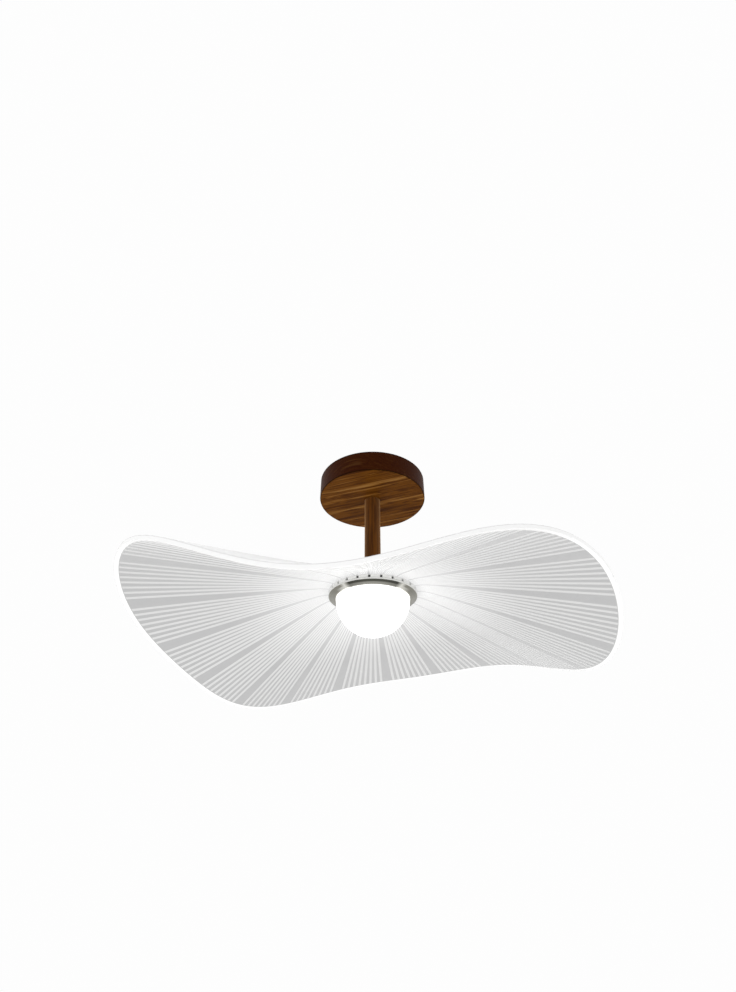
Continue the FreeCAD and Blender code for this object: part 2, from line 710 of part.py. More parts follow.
def make_canopy_grub_screws():
    return Part.makeCompound(grub_pair(GRUB_RADIUS, pan_radius + GRUB_TIP_GAP, canopy_radius - GRUB_RECESS))


PIECES = {
    "ceiling_plate": make_ceiling_plate,
    "grip_band": make_grip_band,
    "stem_cup": make_stem_cup,
    "cable_grommet": make_cable_grommet,
    "earth_screw": make_earth_screw,
    "led_driver": make_led_driver,
    "driver_pad": make_driver_pad,
    "terminal_block": make_terminal_block,
    "terminal_screws": make_terminal_screws,
    "input_lead": make_input_lead,
    "stem_lead": make_stem_lead,
    "stem_tube": make_stem_tube,
    "stem_nut": lambda: hex_nut(cup_floor, NUT_HEIGHT),
    "stem_washer": lambda: tube(tube_radius + SNUG_GAP, STEM_WASHER_RADIUS, sleeve_top, cup_under),
    "stem_sleeve": make_stem_sleeve,
    "hub_cap": make_hub_cap,
    "heat_sink": make_heat_sink,
    "hub_nut": lambda: hex_nut(hub_nut_low(), HUB_NUT_HEIGHT),
    "edge_strip": make_edge_strip,
    "edge_emitters": make_edge_emitters,
    "strip_jumper": make_strip_jumper,
    "upper_gasket": lambda: make_gasket(panel_top, cap_bottom),
    "shade": make_shade,
    "lower_gasket": lambda: make_gasket(ring_top, panel_bottom),
    "clamp_ring": make_clamp_ring,
    "ring_screws": make_ring_screws,
    "downlight_board": make_downlight_board,
    "downlight_chips": make_downlight_chips,
    "board_screws": make_board_screws,
    "board_connector": make_board_connector,
    "canopy": make_canopy,
    "canopy_inserts": make_canopy_inserts,
    "canopy_grub_screws": make_canopy_grub_screws,
    "dome": make_dome,
}

os.makedirs("parts", exist_ok=True)
for node, make in PIECES.items():
    piece = make()
    piece.exportStep(f"parts/{node}.step")
    print(f"{node}: {len(piece.Solids)} solids, {piece.Volume / 1000:.2f} cm3, valid {piece.isValid()}")
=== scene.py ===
"""Looks of a semi-flush ceiling light: oiled walnut, etched edge-lit acrylic, spun nickel, opal dome.

Metres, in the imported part's own frame: the origin is on the stem's axis in the ceiling plane and
+Z is up. Sizes of the pieces are written in millimetres and turned to metres by MM.
"""
import json
import logging
import math
from collections.abc import Callable, Sequence
from dataclasses import dataclass
from enum import Enum
from typing import ClassVar, NamedTuple

import bpy
from mathutils import Euler, Matrix, Vector


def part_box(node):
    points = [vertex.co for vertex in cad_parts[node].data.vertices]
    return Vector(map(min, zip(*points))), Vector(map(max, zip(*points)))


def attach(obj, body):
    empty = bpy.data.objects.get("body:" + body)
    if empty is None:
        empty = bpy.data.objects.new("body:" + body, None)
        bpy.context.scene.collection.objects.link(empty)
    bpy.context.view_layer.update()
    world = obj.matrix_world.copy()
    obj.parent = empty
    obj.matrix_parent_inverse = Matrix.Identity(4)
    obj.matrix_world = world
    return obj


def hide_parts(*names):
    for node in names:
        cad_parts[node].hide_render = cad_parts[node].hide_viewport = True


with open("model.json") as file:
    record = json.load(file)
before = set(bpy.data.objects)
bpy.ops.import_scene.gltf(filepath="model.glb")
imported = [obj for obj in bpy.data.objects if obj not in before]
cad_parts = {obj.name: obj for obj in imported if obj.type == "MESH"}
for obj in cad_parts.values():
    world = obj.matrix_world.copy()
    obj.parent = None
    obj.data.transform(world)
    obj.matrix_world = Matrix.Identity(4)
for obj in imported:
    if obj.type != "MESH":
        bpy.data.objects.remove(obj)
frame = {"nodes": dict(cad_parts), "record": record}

LOG = logging.getLogger("ceiling_light")
MM = 0.001
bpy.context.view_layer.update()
SLOTS = {part["node"]: part["material_slot"] for part in frame["record"]["subparts"]}
WHITE = "#FFFFFF"
ACRYLIC_IOR = 1.49
SILICONE_IOR = 1.41

Tree = bpy.types.NodeTree
Node = bpy.types.Node
Socket = bpy.types.NodeSocket
Piece = bpy.types.Object
Colour = tuple[float, float, float, float]
Span = tuple[float, float]
Spot = tuple[float, float, float]
Stops = Sequence[tuple[float, str]]
Ring = list[Vector]
Outline = Callable[[float], float]
Inputs = dict[str | int, object]


def linear(code: str) -> Colour:
    """Turn an sRGB hex colour into linear RGBA.

    Args:
        code: Colour such as "#C08040".

    Returns:
        Red, green and blue in linear light, and an alpha of 1.
    """
    channels = []
    for start in (1, 3, 5):
        value = int(code[start:start + 2], 16) / 255
        channels.append(value / 12.92 if value <= 0.04045 else ((value + 0.055) / 1.055) ** 2.4)
    return (*channels, 1.0)


def per_metre(size_mm: float) -> float:
    """Return how often a pattern of this size in millimetres repeats in a metre."""
    return 1.0 / (size_mm * MM)


def plug(tree: Tree, node: Node, inputs: Inputs) -> None:
    """Link or set some of a node's inputs.

    Args:
        tree: Node tree of the material or world.
        node: The node.
        inputs: For each input's name or number, the value to set, or the socket or node to link; a node
            stands for its first output in use.
    """
    for key, value in inputs.items():
        named = [socket for socket in node.inputs if socket.enabled and socket.name == key]
        target = named[0] if named else node.inputs[key]
        if isinstance(value, Node):
            value = next(socket for socket in value.outputs if socket.enabled)
        if isinstance(value, Socket):
            tree.links.new(value, target)
        else:
            target.default_value = value


def add(
        tree: Tree, kind: str, inputs: Inputs | None = None, stops: Stops = (), **settings: object,
) -> Node:
    """Add one node with its settings and links.

    Args:
        tree: Node tree of the material or world.
        kind: Blender's name of the node type, less its prefix ShaderNode.
        inputs: Inputs to link or set, as plug takes them.
        stops: For a colour ramp, its places and hex colours, with the lowest and the highest first.
        settings: Values of the node's own properties.

    Returns:
        The new node.
    """
    node = tree.nodes.new("ShaderNode" + kind)
    for name, value in settings.items():
        setattr(node, name, value)
    plug(tree, node, inputs or {})
    for number, (place, code) in enumerate(stops):
        elements = node.color_ramp.elements
        stop = elements[number] if number < 2 else elements.new(place)
        stop.position = place
        stop.color = linear(code)
    return node


def seen_straight(tree: Tree) -> Node:
    """Add nodes that give 1 where the camera, a reflection or clear glass shows the surface, else 0.

    Args:
        tree: Node tree of the material or world.

    Returns:
        The node with that value.
    """
    path = add(tree, "LightPath").outputs
    mirrored = add(tree, "Math", {0: path["Is Camera Ray"], 1: path["Is Glossy Ray"]}, operation="MAXIMUM")
    return add(tree, "Math", {0: mirrored, 1: path["Is Transmission Ray"]}, operation="MAXIMUM")


def round_axis(tree: Tree) -> tuple[Node, Node]:
    """Add nodes that measure a point about the stem's axis.

    Args:
        tree: Node tree of the material.

    Returns:
        The angle from +X in radians, and the distance from the axis in metres.
    """
    x, y, _ = add(tree, "SeparateXYZ", {0: add(tree, "TexCoord").outputs["Object"]}).outputs
    angle = add(tree, "Math", {0: y, 1: x}, operation="ARCTAN2")
    flat = add(tree, "CombineXYZ", {0: x, 1: y})
    return angle, add(tree, "VectorMath", {0: flat}, operation="LENGTH")


def levelness(tree: Tree) -> Node:
    """Add nodes that give 1 on level faces and 0 on upright ones, and return the last."""
    facing = add(tree, "SeparateXYZ", {0: add(tree, "NewGeometry").outputs["Normal"]})
    return add(tree, "Math", {0: facing.outputs["Z"]}, operation="ABSOLUTE")


def clouds(tree: Tree, size: float, between: str, within: str, detail: float = 3.0) -> tuple[Node, Node]:
    """Add nodes that cloud one colour softly with another.

    Args:
        tree: Node tree of the material.
        size: Size of a cloud in millimetres.
        between: Colour between the clouds.
        within: Colour of a cloud.
        detail: Octaves of finer clouds in it.

    Returns:
        How dense the clouds are, from 0 to 1, and their colour.
    """
    place = add(tree, "TexCoord").outputs["Object"]
    dense = add(tree, "TexNoise", {"Vector": place, "Scale": per_metre(size), "Detail": detail})
    mixed = {"Factor": dense, "A": linear(between), "B": linear(within)}
    return dense, add(tree, "Mix", mixed, data_type="RGBA")


@dataclass(frozen=True)
class Finish:
    """A surface finish: one procedural material, made once.

    Attributes:
        name: Name of the material.
    """

    name: str

    def material(self) -> bpy.types.Material:
        """Make the material on first use.

        Returns:
            The material.
        """
        found = bpy.data.materials.get(self.name)
        if found is not None:
            return found
        made = bpy.data.materials.new(self.name)
        made.use_nodes = True
        self.paint(made.node_tree, made.node_tree.nodes["Principled BSDF"])
        return made

    def paint(self, tree: Tree, shader: Node) -> None:
        """Link this finish's pattern to the shader.

        Args:
            tree: The material's node tree.
            shader: Its Principled BSDF node.
        """
        raise NotImplementedError

    def dress(self, piece: Piece) -> None:
        """Give a piece this finish alone."""
        piece.data.materials.clear()
        piece.data.materials.append(self.material())


class Grain(Enum):
    """Turn that lays the wood's fibres along the pattern's X axis, in degrees about X, Y and Z."""

    ACROSS = (0.0, 0.0, 20.0)
    UPRIGHT = (0.0, 90.0, 0.0)


class Fibre(NamedTuple):
    """One layer of noise along the grain.

    Attributes:
        width: Width of its fibres in millimetres.
        stretch: How many times longer than wide they are.
        detail: Octaves of finer noise in them.
        roughness: How strong each finer octave is.
        distortion: How far the fibres wander.
    """

    width: float
    stretch: float
    detail: float
    roughness: float = 0.55
    distortion: float = 0.5

    def lay(self, tree: Tree, place: Node) -> Node:
        """Add this layer's nodes.

        Args:
            tree: The material's node tree.
            place: Vector that has the grain along X.

        Returns:
            Noise from 0 to 1.
        """
        across = per_metre(self.width)
        scaled = add(tree, "Mapping", {"Vector": place, "Scale": (across / self.stretch, across, across)})
        return add(tree, "TexNoise", {"Vector": scaled, "Scale": 1.0, "Detail": self.detail,
                                      "Roughness": self.roughness, "Distortion": self.distortion})


@dataclass(frozen=True)
class OiledWalnut(Finish):
    """Walnut, turned and oiled: growth rings, long streaks of two browns, dark pores and a low sheen.

    Attributes:
        grain: Which way the fibres run.
        dark: Colour of the late wood.
        middle: Colour between the streaks.
        light: Colour of the early wood.
        wall: Painted shade on upright walls, a dark red-brown in place of the shade that falls on them.
        hollow: Colour in the pores.
        arris_shade_tint: Colour of the painted shade along an outer arris.
        contrast: How far the streaks stand apart; 1 is plain noise.
        wall_shade: How much of that painted shade shows there, 0 to 1.
        wall_fade: How level a face is where the painted shade is whole, and where it is gone.
        gloss: Specular level of the oil.
        roughness: Roughness between the streaks and on them.
        fuzz: Sheen of the raised fibres.
        fuzz_tint: Colour of that sheen.
        fuzz_spread: Roughness of that sheen.
        ring: Spacing of the growth rings in millimetres.
        ring_bend: By how many rings the figure bends them.
        ring_share: Share of the rings beside the figure.
        pith: Place of the tree's heart beside and above the piece, in millimetres.
        figure: The broad bands.
        streak: The fine streaks.
        streak_share: Share of the streaks beside the rings and the figure.
        pore: The pores; real ones are near 0.2 mm wide and are drawn coarser to show.
        pore_edge: Noise where a pore begins, and where it is deepest.
        pore_shade: How much of a pore's colour shows, 0 to 1.
        relief: Depth of a pore in millimetres.
        relief_share: How much of that depth the light shows, 0 to 1.
        arris_shade: How dark the painted shade along the outer arrises is, 0 to 1.
        rim: Radius of the piece in millimetres, where that painted shade line lies.
        middle_height: Height of the middle of its wall in millimetres.
        half_height: Half of that wall's height.
        line: Width of the painted shade line.
        line_core: Share of that width where it is whole.
    """

    grain: Grain = Grain.ACROSS
    dark: str = "#4A2505"
    middle: str = "#784813"
    light: str = "#A1723A"
    wall: str = "#2B0800"
    hollow: str = "#2A1405"
    arris_shade_tint: str = "#120501"
    contrast: float = 1.55
    wall_shade: float = 0.88
    wall_fade: Span = (0.2, 0.9)
    gloss: float = 0.03
    roughness: Span = (0.36, 0.6)
    fuzz: float = 0.0
    fuzz_tint: str = "#FFCB92"
    fuzz_spread: float = 0.46
    ring: float = 5.0
    ring_bend: float = 2.4
    ring_share: float = 0.24
    pith: Span = (18.0, 55.0)
    figure: Fibre = Fibre(15.0, 9.0, 3.0)
    streak: Fibre = Fibre(2.8, 28.0, 4.0)
    streak_share: float = 0.36
    pore: Fibre = Fibre(0.6, 22.0, 2.0)
    pore_edge: Span = (0.58, 0.74)
    pore_shade: float = 0.5
    relief: float = 0.2
    relief_share: float = 0.25
    arris_shade: float = 0.85
    rim: float = 60.0
    middle_height: float = -12.75
    half_height: float = 12.25
    line: float = 1.2
    line_core: float = 0.3

    def growth(self, tree: Tree, place: Node, figure: Node) -> Node:
        """Add the growth rings about the pith, bent by the figure.

        Args:
            tree: The material's node tree.
            place: Vector that has the grain along X.
            figure: Noise that bends the rings.

        Returns:
            A wave from 0 to 1 across each ring.
        """
        _, across, up = add(tree, "SeparateXYZ", {0: place}).outputs
        beside, above = (add(tree, "Math", {0: value, 1: heart * MM}, operation="SUBTRACT")
                         for value, heart in zip((across, up), self.pith))
        flat = add(tree, "CombineXYZ", {0: beside, 1: above})
        away = add(tree, "VectorMath", {0: flat}, operation="LENGTH")
        bend = add(tree, "Math", {0: figure, 1: self.ring_bend}, operation="MULTIPLY")
        phase = add(tree, "Math", {0: away, 1: per_metre(self.ring), 2: bend}, operation="MULTIPLY_ADD")
        wave = add(tree, "Math", {0: phase, 1: 0.5}, operation="PINGPONG")
        return add(tree, "Math", {0: wave, 1: 2.0}, operation="MULTIPLY")

    def painted_arris_shade(self, tree: Tree, flat: Node) -> Node:
        """Add a painted shade line along the outer arrises, where their rounds turn away from the light.

        Args:
            tree: The material's node tree.
            flat: 1 on level faces, 0 on upright ones.

        Returns:
            How dark the line is, from 0 to 1.
        """
        radius = round_axis(tree)[1]
        place = add(tree, "SeparateXYZ", {0: add(tree, "TexCoord").outputs["Object"]})
        height = place.outputs["Z"]
        shifted = add(tree, "Math", {0: height, 1: self.middle_height * MM}, operation="SUBTRACT")
        off = add(tree, "Math", {0: shifted}, operation="ABSOLUTE")
        on_wall, on_face = (add(tree, "MapRange", {
            "Value": value, "From Min": (end - self.line) * MM,
            "From Max": (end - self.line_core * self.line) * MM, "To Max": self.arris_shade})
            for value, end in ((off, self.half_height), (radius, self.rim)))
        return add(tree, "Mix", {"Factor": flat, "A": on_wall, "B": on_face})

    def paint(self, tree: Tree, shader: Node) -> None:
        """Lay rings, figure, streaks and pores along the grain, and paint shade on walls and arrises.

        Args:
            tree: The material's node tree.
            shader: Its Principled BSDF node.
        """
        turn = tuple(math.radians(angle) for angle in self.grain.value)
        place = add(tree, "Mapping", {"Vector": add(tree, "TexCoord").outputs["Object"], "Rotation": turn})
        figure, streak, pore = (fibre.lay(tree, place) for fibre in (self.figure, self.streak, self.pore))
        rings = self.growth(tree, place, figure)
        broad = add(tree, "Mix", {"Factor": self.ring_share, "A": figure, "B": rings})
        blend = add(tree, "Mix", {"Factor": self.streak_share, "A": broad, "B": streak})
        apart = add(tree, "Math", {0: blend, 1: self.contrast, 2: 0.5 * (1 - self.contrast)},
                    operation="MULTIPLY_ADD")
        # noise gathers near a half, so the browns stand close together there
        colour = add(tree, "ValToRGB", {0: apart}, stops=(
            (0.30, self.dark), (0.72, self.light), (0.46, self.middle), (0.53, self.dark),
            (0.60, self.middle)))
        hole = add(tree, "MapRange", {
            "Value": pore, "From Min": self.pore_edge[0], "From Max": self.pore_edge[1],
            "To Max": self.pore_shade})
        flat = levelness(tree)
        # painted shade: upright walls take a dark red-brown in place of the shade that falls on them
        shade = add(tree, "MapRange", {
            "Value": flat, "From Min": self.wall_fade[0], "From Max": self.wall_fade[1],
            "To Min": self.wall_shade, "To Max": 0.0})
        # painted shade: a dark line along the outer arrises, where their rounds turn away from the light
        edge = self.painted_arris_shade(tree, flat)
        for share, tint in ((hole, self.hollow), (shade, self.wall), (edge, self.arris_shade_tint)):
            colour = add(tree, "Mix", {"Factor": share, "A": colour, "B": linear(tint)}, data_type="RGBA")
        rough = add(tree, "MapRange", {
            "Value": streak, "To Min": self.roughness[0], "To Max": self.roughness[1]})
        relief = add(tree, "Bump", {
            "Strength": self.relief_share, "Distance": self.relief * MM, "Height": hole}, invert=True)
        plug(tree, shader, {
            "Base Color": colour, "Roughness": rough, "Normal": relief, "Specular IOR Level": self.gloss,
            "Sheen Weight": self.fuzz, "Sheen Tint": linear(self.fuzz_tint),
            "Sheen Roughness": self.fuzz_spread})


@dataclass(frozen=True)
class SpunNickel(Finish):
    """Nickel plate over a spun blank: rings of fine tool marks, and painted highlights and reflections
    fanned by angle.

    Attributes:
        ring: Spacing of the tool marks; real ones are near 0.1 mm and are drawn coarser to show.
        step: Radius in millimetres where the lip's paler painted reflection passes into the cone's darker
            one.
        step_half: Half of the width of that passage.
        cone: Painted highlights and reflections on the cone, by the sine of the angle from +X.
        lip: Painted highlights and reflections on the lip, likewise.
        wall: Painted highlight on upright walls, a near-white reflection.
        wall_fade: How level a face is where that colour is gone, and where it is whole.
        groove: Colour in the tool marks.
        groove_shade: How much of that colour shows, 0 to 1.
        roughness: Roughness in the marks and beside them.
        relief: Depth of a mark in millimetres.
        relief_share: How much of that depth the light shows, 0 to 1.
    """

    ring: float = 0.35
    step: float = 42.4
    step_half: float = 0.4
    cone: Stops = (
        (0.0, "#9C9A92"), (1.0, "#42423C"), (0.42, "#86847C"), (0.68, "#8A8880"), (0.76, "#E4E3DD"),
        (0.81, "#8E8D86"), (0.84, "#363632"))
    lip: Stops = (
        (0.0, "#9C9A92"), (1.0, "#86857F"), (0.5, "#86847C"), (0.76, "#E4E3DD"), (0.84, "#75746E"))
    wall: str = "#F6F6F3"
    wall_fade: Span = (0.5, 0.3)
    groove: str = "#5A5953"
    groove_shade: float = 0.35
    roughness: Span = (0.2, 0.42)
    relief: float = 0.05
    relief_share: float = 0.2

    def paint(self, tree: Tree, shader: Node) -> None:
        """Ring the plate with tool marks and paint a fan of highlights and reflections by angle.

        Args:
            tree: The material's node tree.
            shader: Its Principled BSDF node.
        """
        angle, radius = round_axis(tree)
        outwards = add(tree, "Math", {0: radius, 1: per_metre(self.ring)}, operation="MULTIPLY")
        marks = add(tree, "TexNoise", {"W": outwards, "Scale": 1.0, "Detail": 2.0}, noise_dimensions="1D")
        # painted highlights and reflections: bright and dark bands fanned by angle, a paler lip, near-white
        # upright walls
        sine = add(tree, "Math", {0: angle}, operation="SINE")
        fan = add(tree, "Math", {0: sine}, operation="ABSOLUTE")
        cone, lip = (add(tree, "ValToRGB", {0: fan}, stops=stops) for stops in (self.cone, self.lip))
        inner = add(tree, "MapRange", {
            "Value": radius, "From Min": (self.step + self.step_half) * MM,
            "From Max": (self.step - self.step_half) * MM})
        upright = add(tree, "MapRange", {
            "Value": levelness(tree), "From Min": self.wall_fade[0], "From Max": self.wall_fade[1]})
        grooves = add(tree, "MapRange", {"Value": marks, "To Min": self.groove_shade, "To Max": 0.0})
        colour = cone
        for share, tint in ((inner, lip), (upright, linear(self.wall)), (grooves, linear(self.groove))):
            colour = add(tree, "Mix", {"Factor": share, "A": colour, "B": tint}, data_type="RGBA")
        rough = add(tree, "MapRange", {
            "Value": marks, "To Min": self.roughness[0], "To Max": self.roughness[1]})
        relief = add(tree, "Bump", {
            "Strength": self.relief_share, "Distance": self.relief * MM, "Height": marks})
        plug(tree, shader, {"Base Color": colour, "Roughness": rough, "Normal": relief, "Metallic": 1.0})


@dataclass(frozen=True)
class EtchedAcrylic(Finish):
    """Clear acrylic, cast, laser-etched and lit from its hole: the etched lines and the cut edge glow.

    Reads the mesh's own values: etch on the lines, field inside the border, arris on the edges' rounds,
    and frost where a line was cut.

    Attributes:
        plain: Colour of the sheet between the lines.
        etched: Colour of a line.
        clear: Colour of the border and the cut edge.
        border_glow: Light of the clear border and the cut edge.
        line_glow: Light of a line, added to the sheet's.
        field_glow: Light of the sheet between the lines.
        hub_glow: Light next to the hub, which fades outwards.
        hub_reach: Radius where the hub's light has faded, in millimetres.
        hub_radius: Radius where that light is whole.
        arris_loss: Light that the rounds of the edges lose.
        roughness: Roughness of the cast sheet and of a frosted line.
        gloss: Specular level of the sheet.
        haze: Sheen of the frosted lines, which shows at a low angle.
        haze_spread: Roughness of that sheen.
    """

    plain: str = "#AFAFB0"
    etched: str = "#C5C5C5"
    clear: str = "#EEEEEE"
    border_glow: float = 0.17
    line_glow: float = 0.088
    field_glow: float = 0.03
    hub_glow: float = 0.24
    hub_reach: float = 150.0
    hub_radius: float = 44.0
    arris_loss: float = 0.13
    roughness: Span = (0.17, 0.55)
    gloss: float = 0.8
    haze: float = 0.9
    haze_spread: float = 0.3

    def paint(self, tree: Tree, shader: Node) -> None:
        """Mix the sheet and the lines, and add the light of each.

        Args:
            tree: The material's node tree.
            shader: Its Principled BSDF node.
        """
        etch, field, arris, frost = (add(tree, "Attribute", attribute_name=name).outputs["Fac"]
                                     for name in ("etch", "field", "arris", "frost"))
        near = add(tree, "MapRange", {
            "Value": round_axis(tree)[1], "From Min": self.hub_reach * MM,
            "From Max": self.hub_radius * MM}, interpolation_type="SMOOTHSTEP")
        body = add(tree, "Mix", {"Factor": field, "A": linear(self.clear), "B": linear(self.plain)},
                   data_type="RGBA")
        # a line only ever lightens the sheet, so it shows on the paler top as well
        colour = add(tree, "Mix", {"Factor": etch, "A": body, "B": linear(self.etched)},
                     data_type="RGBA", blend_type="LIGHTEN")
        light = add(tree, "MapRange", {
            "Value": field, "To Min": self.border_glow, "To Max": self.field_glow})
        for share, glow in ((etch, self.line_glow), (near, self.hub_glow), (arris, -self.arris_loss)):
            light = add(tree, "Math", {0: share, 1: glow, 2: light},
                        operation="MULTIPLY_ADD", use_clamp=True)
        rough = add(tree, "MapRange", {
            "Value": frost, "To Min": self.roughness[0], "To Max": self.roughness[1]})
        plug(tree, shader, {
            "Base Color": colour, "Roughness": rough, "IOR": ACRYLIC_IOR, "Specular IOR Level": self.gloss,
            "Emission Color": linear(WHITE), "Emission Strength": light,
            "Sheen Weight": self.haze, "Sheen Roughness": self.haze_spread})


@dataclass(frozen=True)
class OpalAcrylic(Finish):
    """Opal acrylic, blown and satined: an even, lit white that hides its lamps, with the faintest clouds.

    Attributes:
        thin: Colour between the clouds.
        thick: Colour of a cloud.
        light: Mean light that comes through the wall.
        light_share: Least and most of that light, as shares.
        cloud: Size of the clouds in the opal, in millimetres.
        roughness: Roughness of the satined wall.
    """

    thin: str = "#F4F4F1"
    thick: str = "#FCFCFA"
    light: float = 1.15
    light_share: Span = (0.94, 1.06)
    cloud: float = 14.0
    roughness: float = 0.35

    def paint(self, tree: Tree, shader: Node) -> None:
        """Cloud the opal faintly and let its light through.

        Args:
            tree: The material's node tree.
            shader: Its Principled BSDF node.
        """
        dense, white = clouds(tree, self.cloud, self.thin, self.thick)
        least, most = (share * self.light for share in self.light_share)
        glow = add(tree, "MapRange", {"Value": dense, "To Min": least, "To Max": most})
        plug(tree, shader, {"Base Color": white, "Roughness": self.roughness, "IOR": ACRYLIC_IOR,
                            "Emission Color": linear(WHITE), "Emission Strength": glow})


@dataclass(frozen=True)
class LitSilicone(Finish):
    """Clear silicone, moulded, with the lamps behind it: pale and faintly lit, with painted shade deep in
    its slots.

    Reads the mesh's own value slot, which is 1 at the bottom of a slot.

    Attributes:
        pale: Colour of the wall.
        milky: Colour of the clouds in it.
        deep: Painted shade at the bottom of a slot, which no lamp reaches.
        slot_edge: Value of slot where the dark is whole, and where it is gone.
        glow: Light through the wall.
        cloud: Size of the clouds in the silicone, in millimetres.
        roughness: Roughness of the moulded wall.
    """

    pale: str = "#D2D2D0"
    milky: str = "#DCDCD9"
    deep: str = "#0C0C0D"
    slot_edge: Span = (0.7, 0.3)
    glow: float = 0.08
    cloud: float = 3.0
    roughness: float = 0.4

    def paint(self, tree: Tree, shader: Node) -> None:
        """Cloud the wall faintly and paint shade in the slots.

        Args:
            tree: The material's node tree.
            shader: Its Principled BSDF node.
        """
        slot = add(tree, "Attribute", attribute_name="slot").outputs["Fac"]
        lit = add(tree, "MapRange", {
            "Value": slot, "From Min": self.slot_edge[0], "From Max": self.slot_edge[1]})
        wall = clouds(tree, self.cloud, self.pale, self.milky, detail=2.0)[1]
        # painted shade: the slot bottoms go near-black
        colour = add(tree, "Mix", {"Factor": lit, "A": linear(self.deep), "B": wall}, data_type="RGBA")
        glow = add(tree, "Math", {0: lit, 1: self.glow}, operation="MULTIPLY")
        plug(tree, shader, {"Base Color": colour, "Roughness": self.roughness, "IOR": SILICONE_IOR,
                            "Emission Color": linear(WHITE), "Emission Strength": glow})


class Make(Enum):
    """How a small part's surface was made: fleck size in mm, contrast, relief in mm."""

    PRESSED = (1.6, 0.22, 0.01)
    TURNED = (0.5, 0.15, 0.01)
    MOULDED = (0.8, 0.10, 0.03)
    EXTRUDED = (2.2, 0.06, 0.01)
    FOAMED = (0.9, 0.45, 0.12)
    PRINTED = (1.2, 0.08, 0.01)


@dataclass(frozen=True)
class SmallPart(Finish):
    """Finish of a fitting: its own colour, flecked the way it was made.

    Flecks finer than half a millimetre are drawn coarser than they are, so that they show.

    Attributes:
        colour: Main colour.
        make: How the surface was made.
        metallic: 1 for a metal.
        roughness: Mean roughness.
        light: Light that the part gives by itself.
        dark_share: How bright a fleck is beside the main colour.
        fleck_edge: Noise where a fleck begins, and where it is whole.
        rough_share: Least and most roughness, as shares of the mean.
        relief_share: How much of the relief the light shows, 0 to 1.
    """

    colour: str
    make: Make
    metallic: float = 0.0
    roughness: float = 0.5
    light: float = 0.0
    dark_share: float = 0.45
    fleck_edge: Span = (0.3, 0.7)
    rough_share: Span = (0.8, 1.2)
    relief_share: float = 0.5

    def paint(self, tree: Tree, shader: Node) -> None:
        """Fleck the colour, the roughness and the relief together.

        Args:
            tree: The material's node tree.
            shader: Its Principled BSDF node.
        """
        size, contrast, height = self.make.value
        fleck = add(tree, "TexNoise", {
            "Vector": add(tree, "TexCoord").outputs["Object"], "Scale": per_metre(size),
            "Detail": 3.0, "Roughness": 0.6})
        depth = add(tree, "MapRange", {
            "Value": fleck, "From Min": self.fleck_edge[0], "From Max": self.fleck_edge[1],
            "To Max": contrast})
        dark = (*(self.dark_share * value for value in linear(self.colour)[:3]), 1.0)
        colour = add(tree, "Mix", {"Factor": depth, "A": linear(self.colour), "B": dark}, data_type="RGBA")
        least, most = (min(1.0, share * self.roughness) for share in self.rough_share)
        rough = add(tree, "MapRange", {"Value": fleck, "To Min": least, "To Max": most})
        relief = add(tree, "Bump", {
            "Strength": self.relief_share, "Distance": height * MM, "Height": fleck})
        plug(tree, shader, {
            "Base Color": colour, "Roughness": rough, "Normal": relief, "Metallic": self.metallic,
            "Emission Color": linear(self.colour), "Emission Strength": self.light})


@dataclass(frozen=True)
class PaleFloor(Finish):
    """Plaster, trowelled smooth: an even near-white that blends into the backdrop and keeps soft shadows.

    Attributes:
        colour: Colour of the plaster.
        worked: Colour of a trowel mark.
        trowel: Length of a trowel mark in millimetres.
        backdrop: Light that only the camera and reflections see.
        roughness: Roughness of the plaster.
    """

    colour: str = "#F4F4F2"
    worked: str = "#EFEFED"
    trowel: float = 180.0
    backdrop: float = 0.5
    roughness: float = 0.8

    def paint(self, tree: Tree, shader: Node) -> None:
        """Mark the plaster faintly and lift it to the backdrop's white.

        Args:
            tree: The material's node tree.
            shader: Its Principled BSDF node.
        """
        plaster = clouds(tree, self.trowel, self.colour, self.worked)[1]
        lift = add(tree, "Math", {0: seen_straight(tree), 1: self.backdrop}, operation="MULTIPLY")
        plug(tree, shader, {"Base Color": plaster, "Roughness": self.roughness,
                            "Emission Color": linear(WHITE), "Emission Strength": lift})


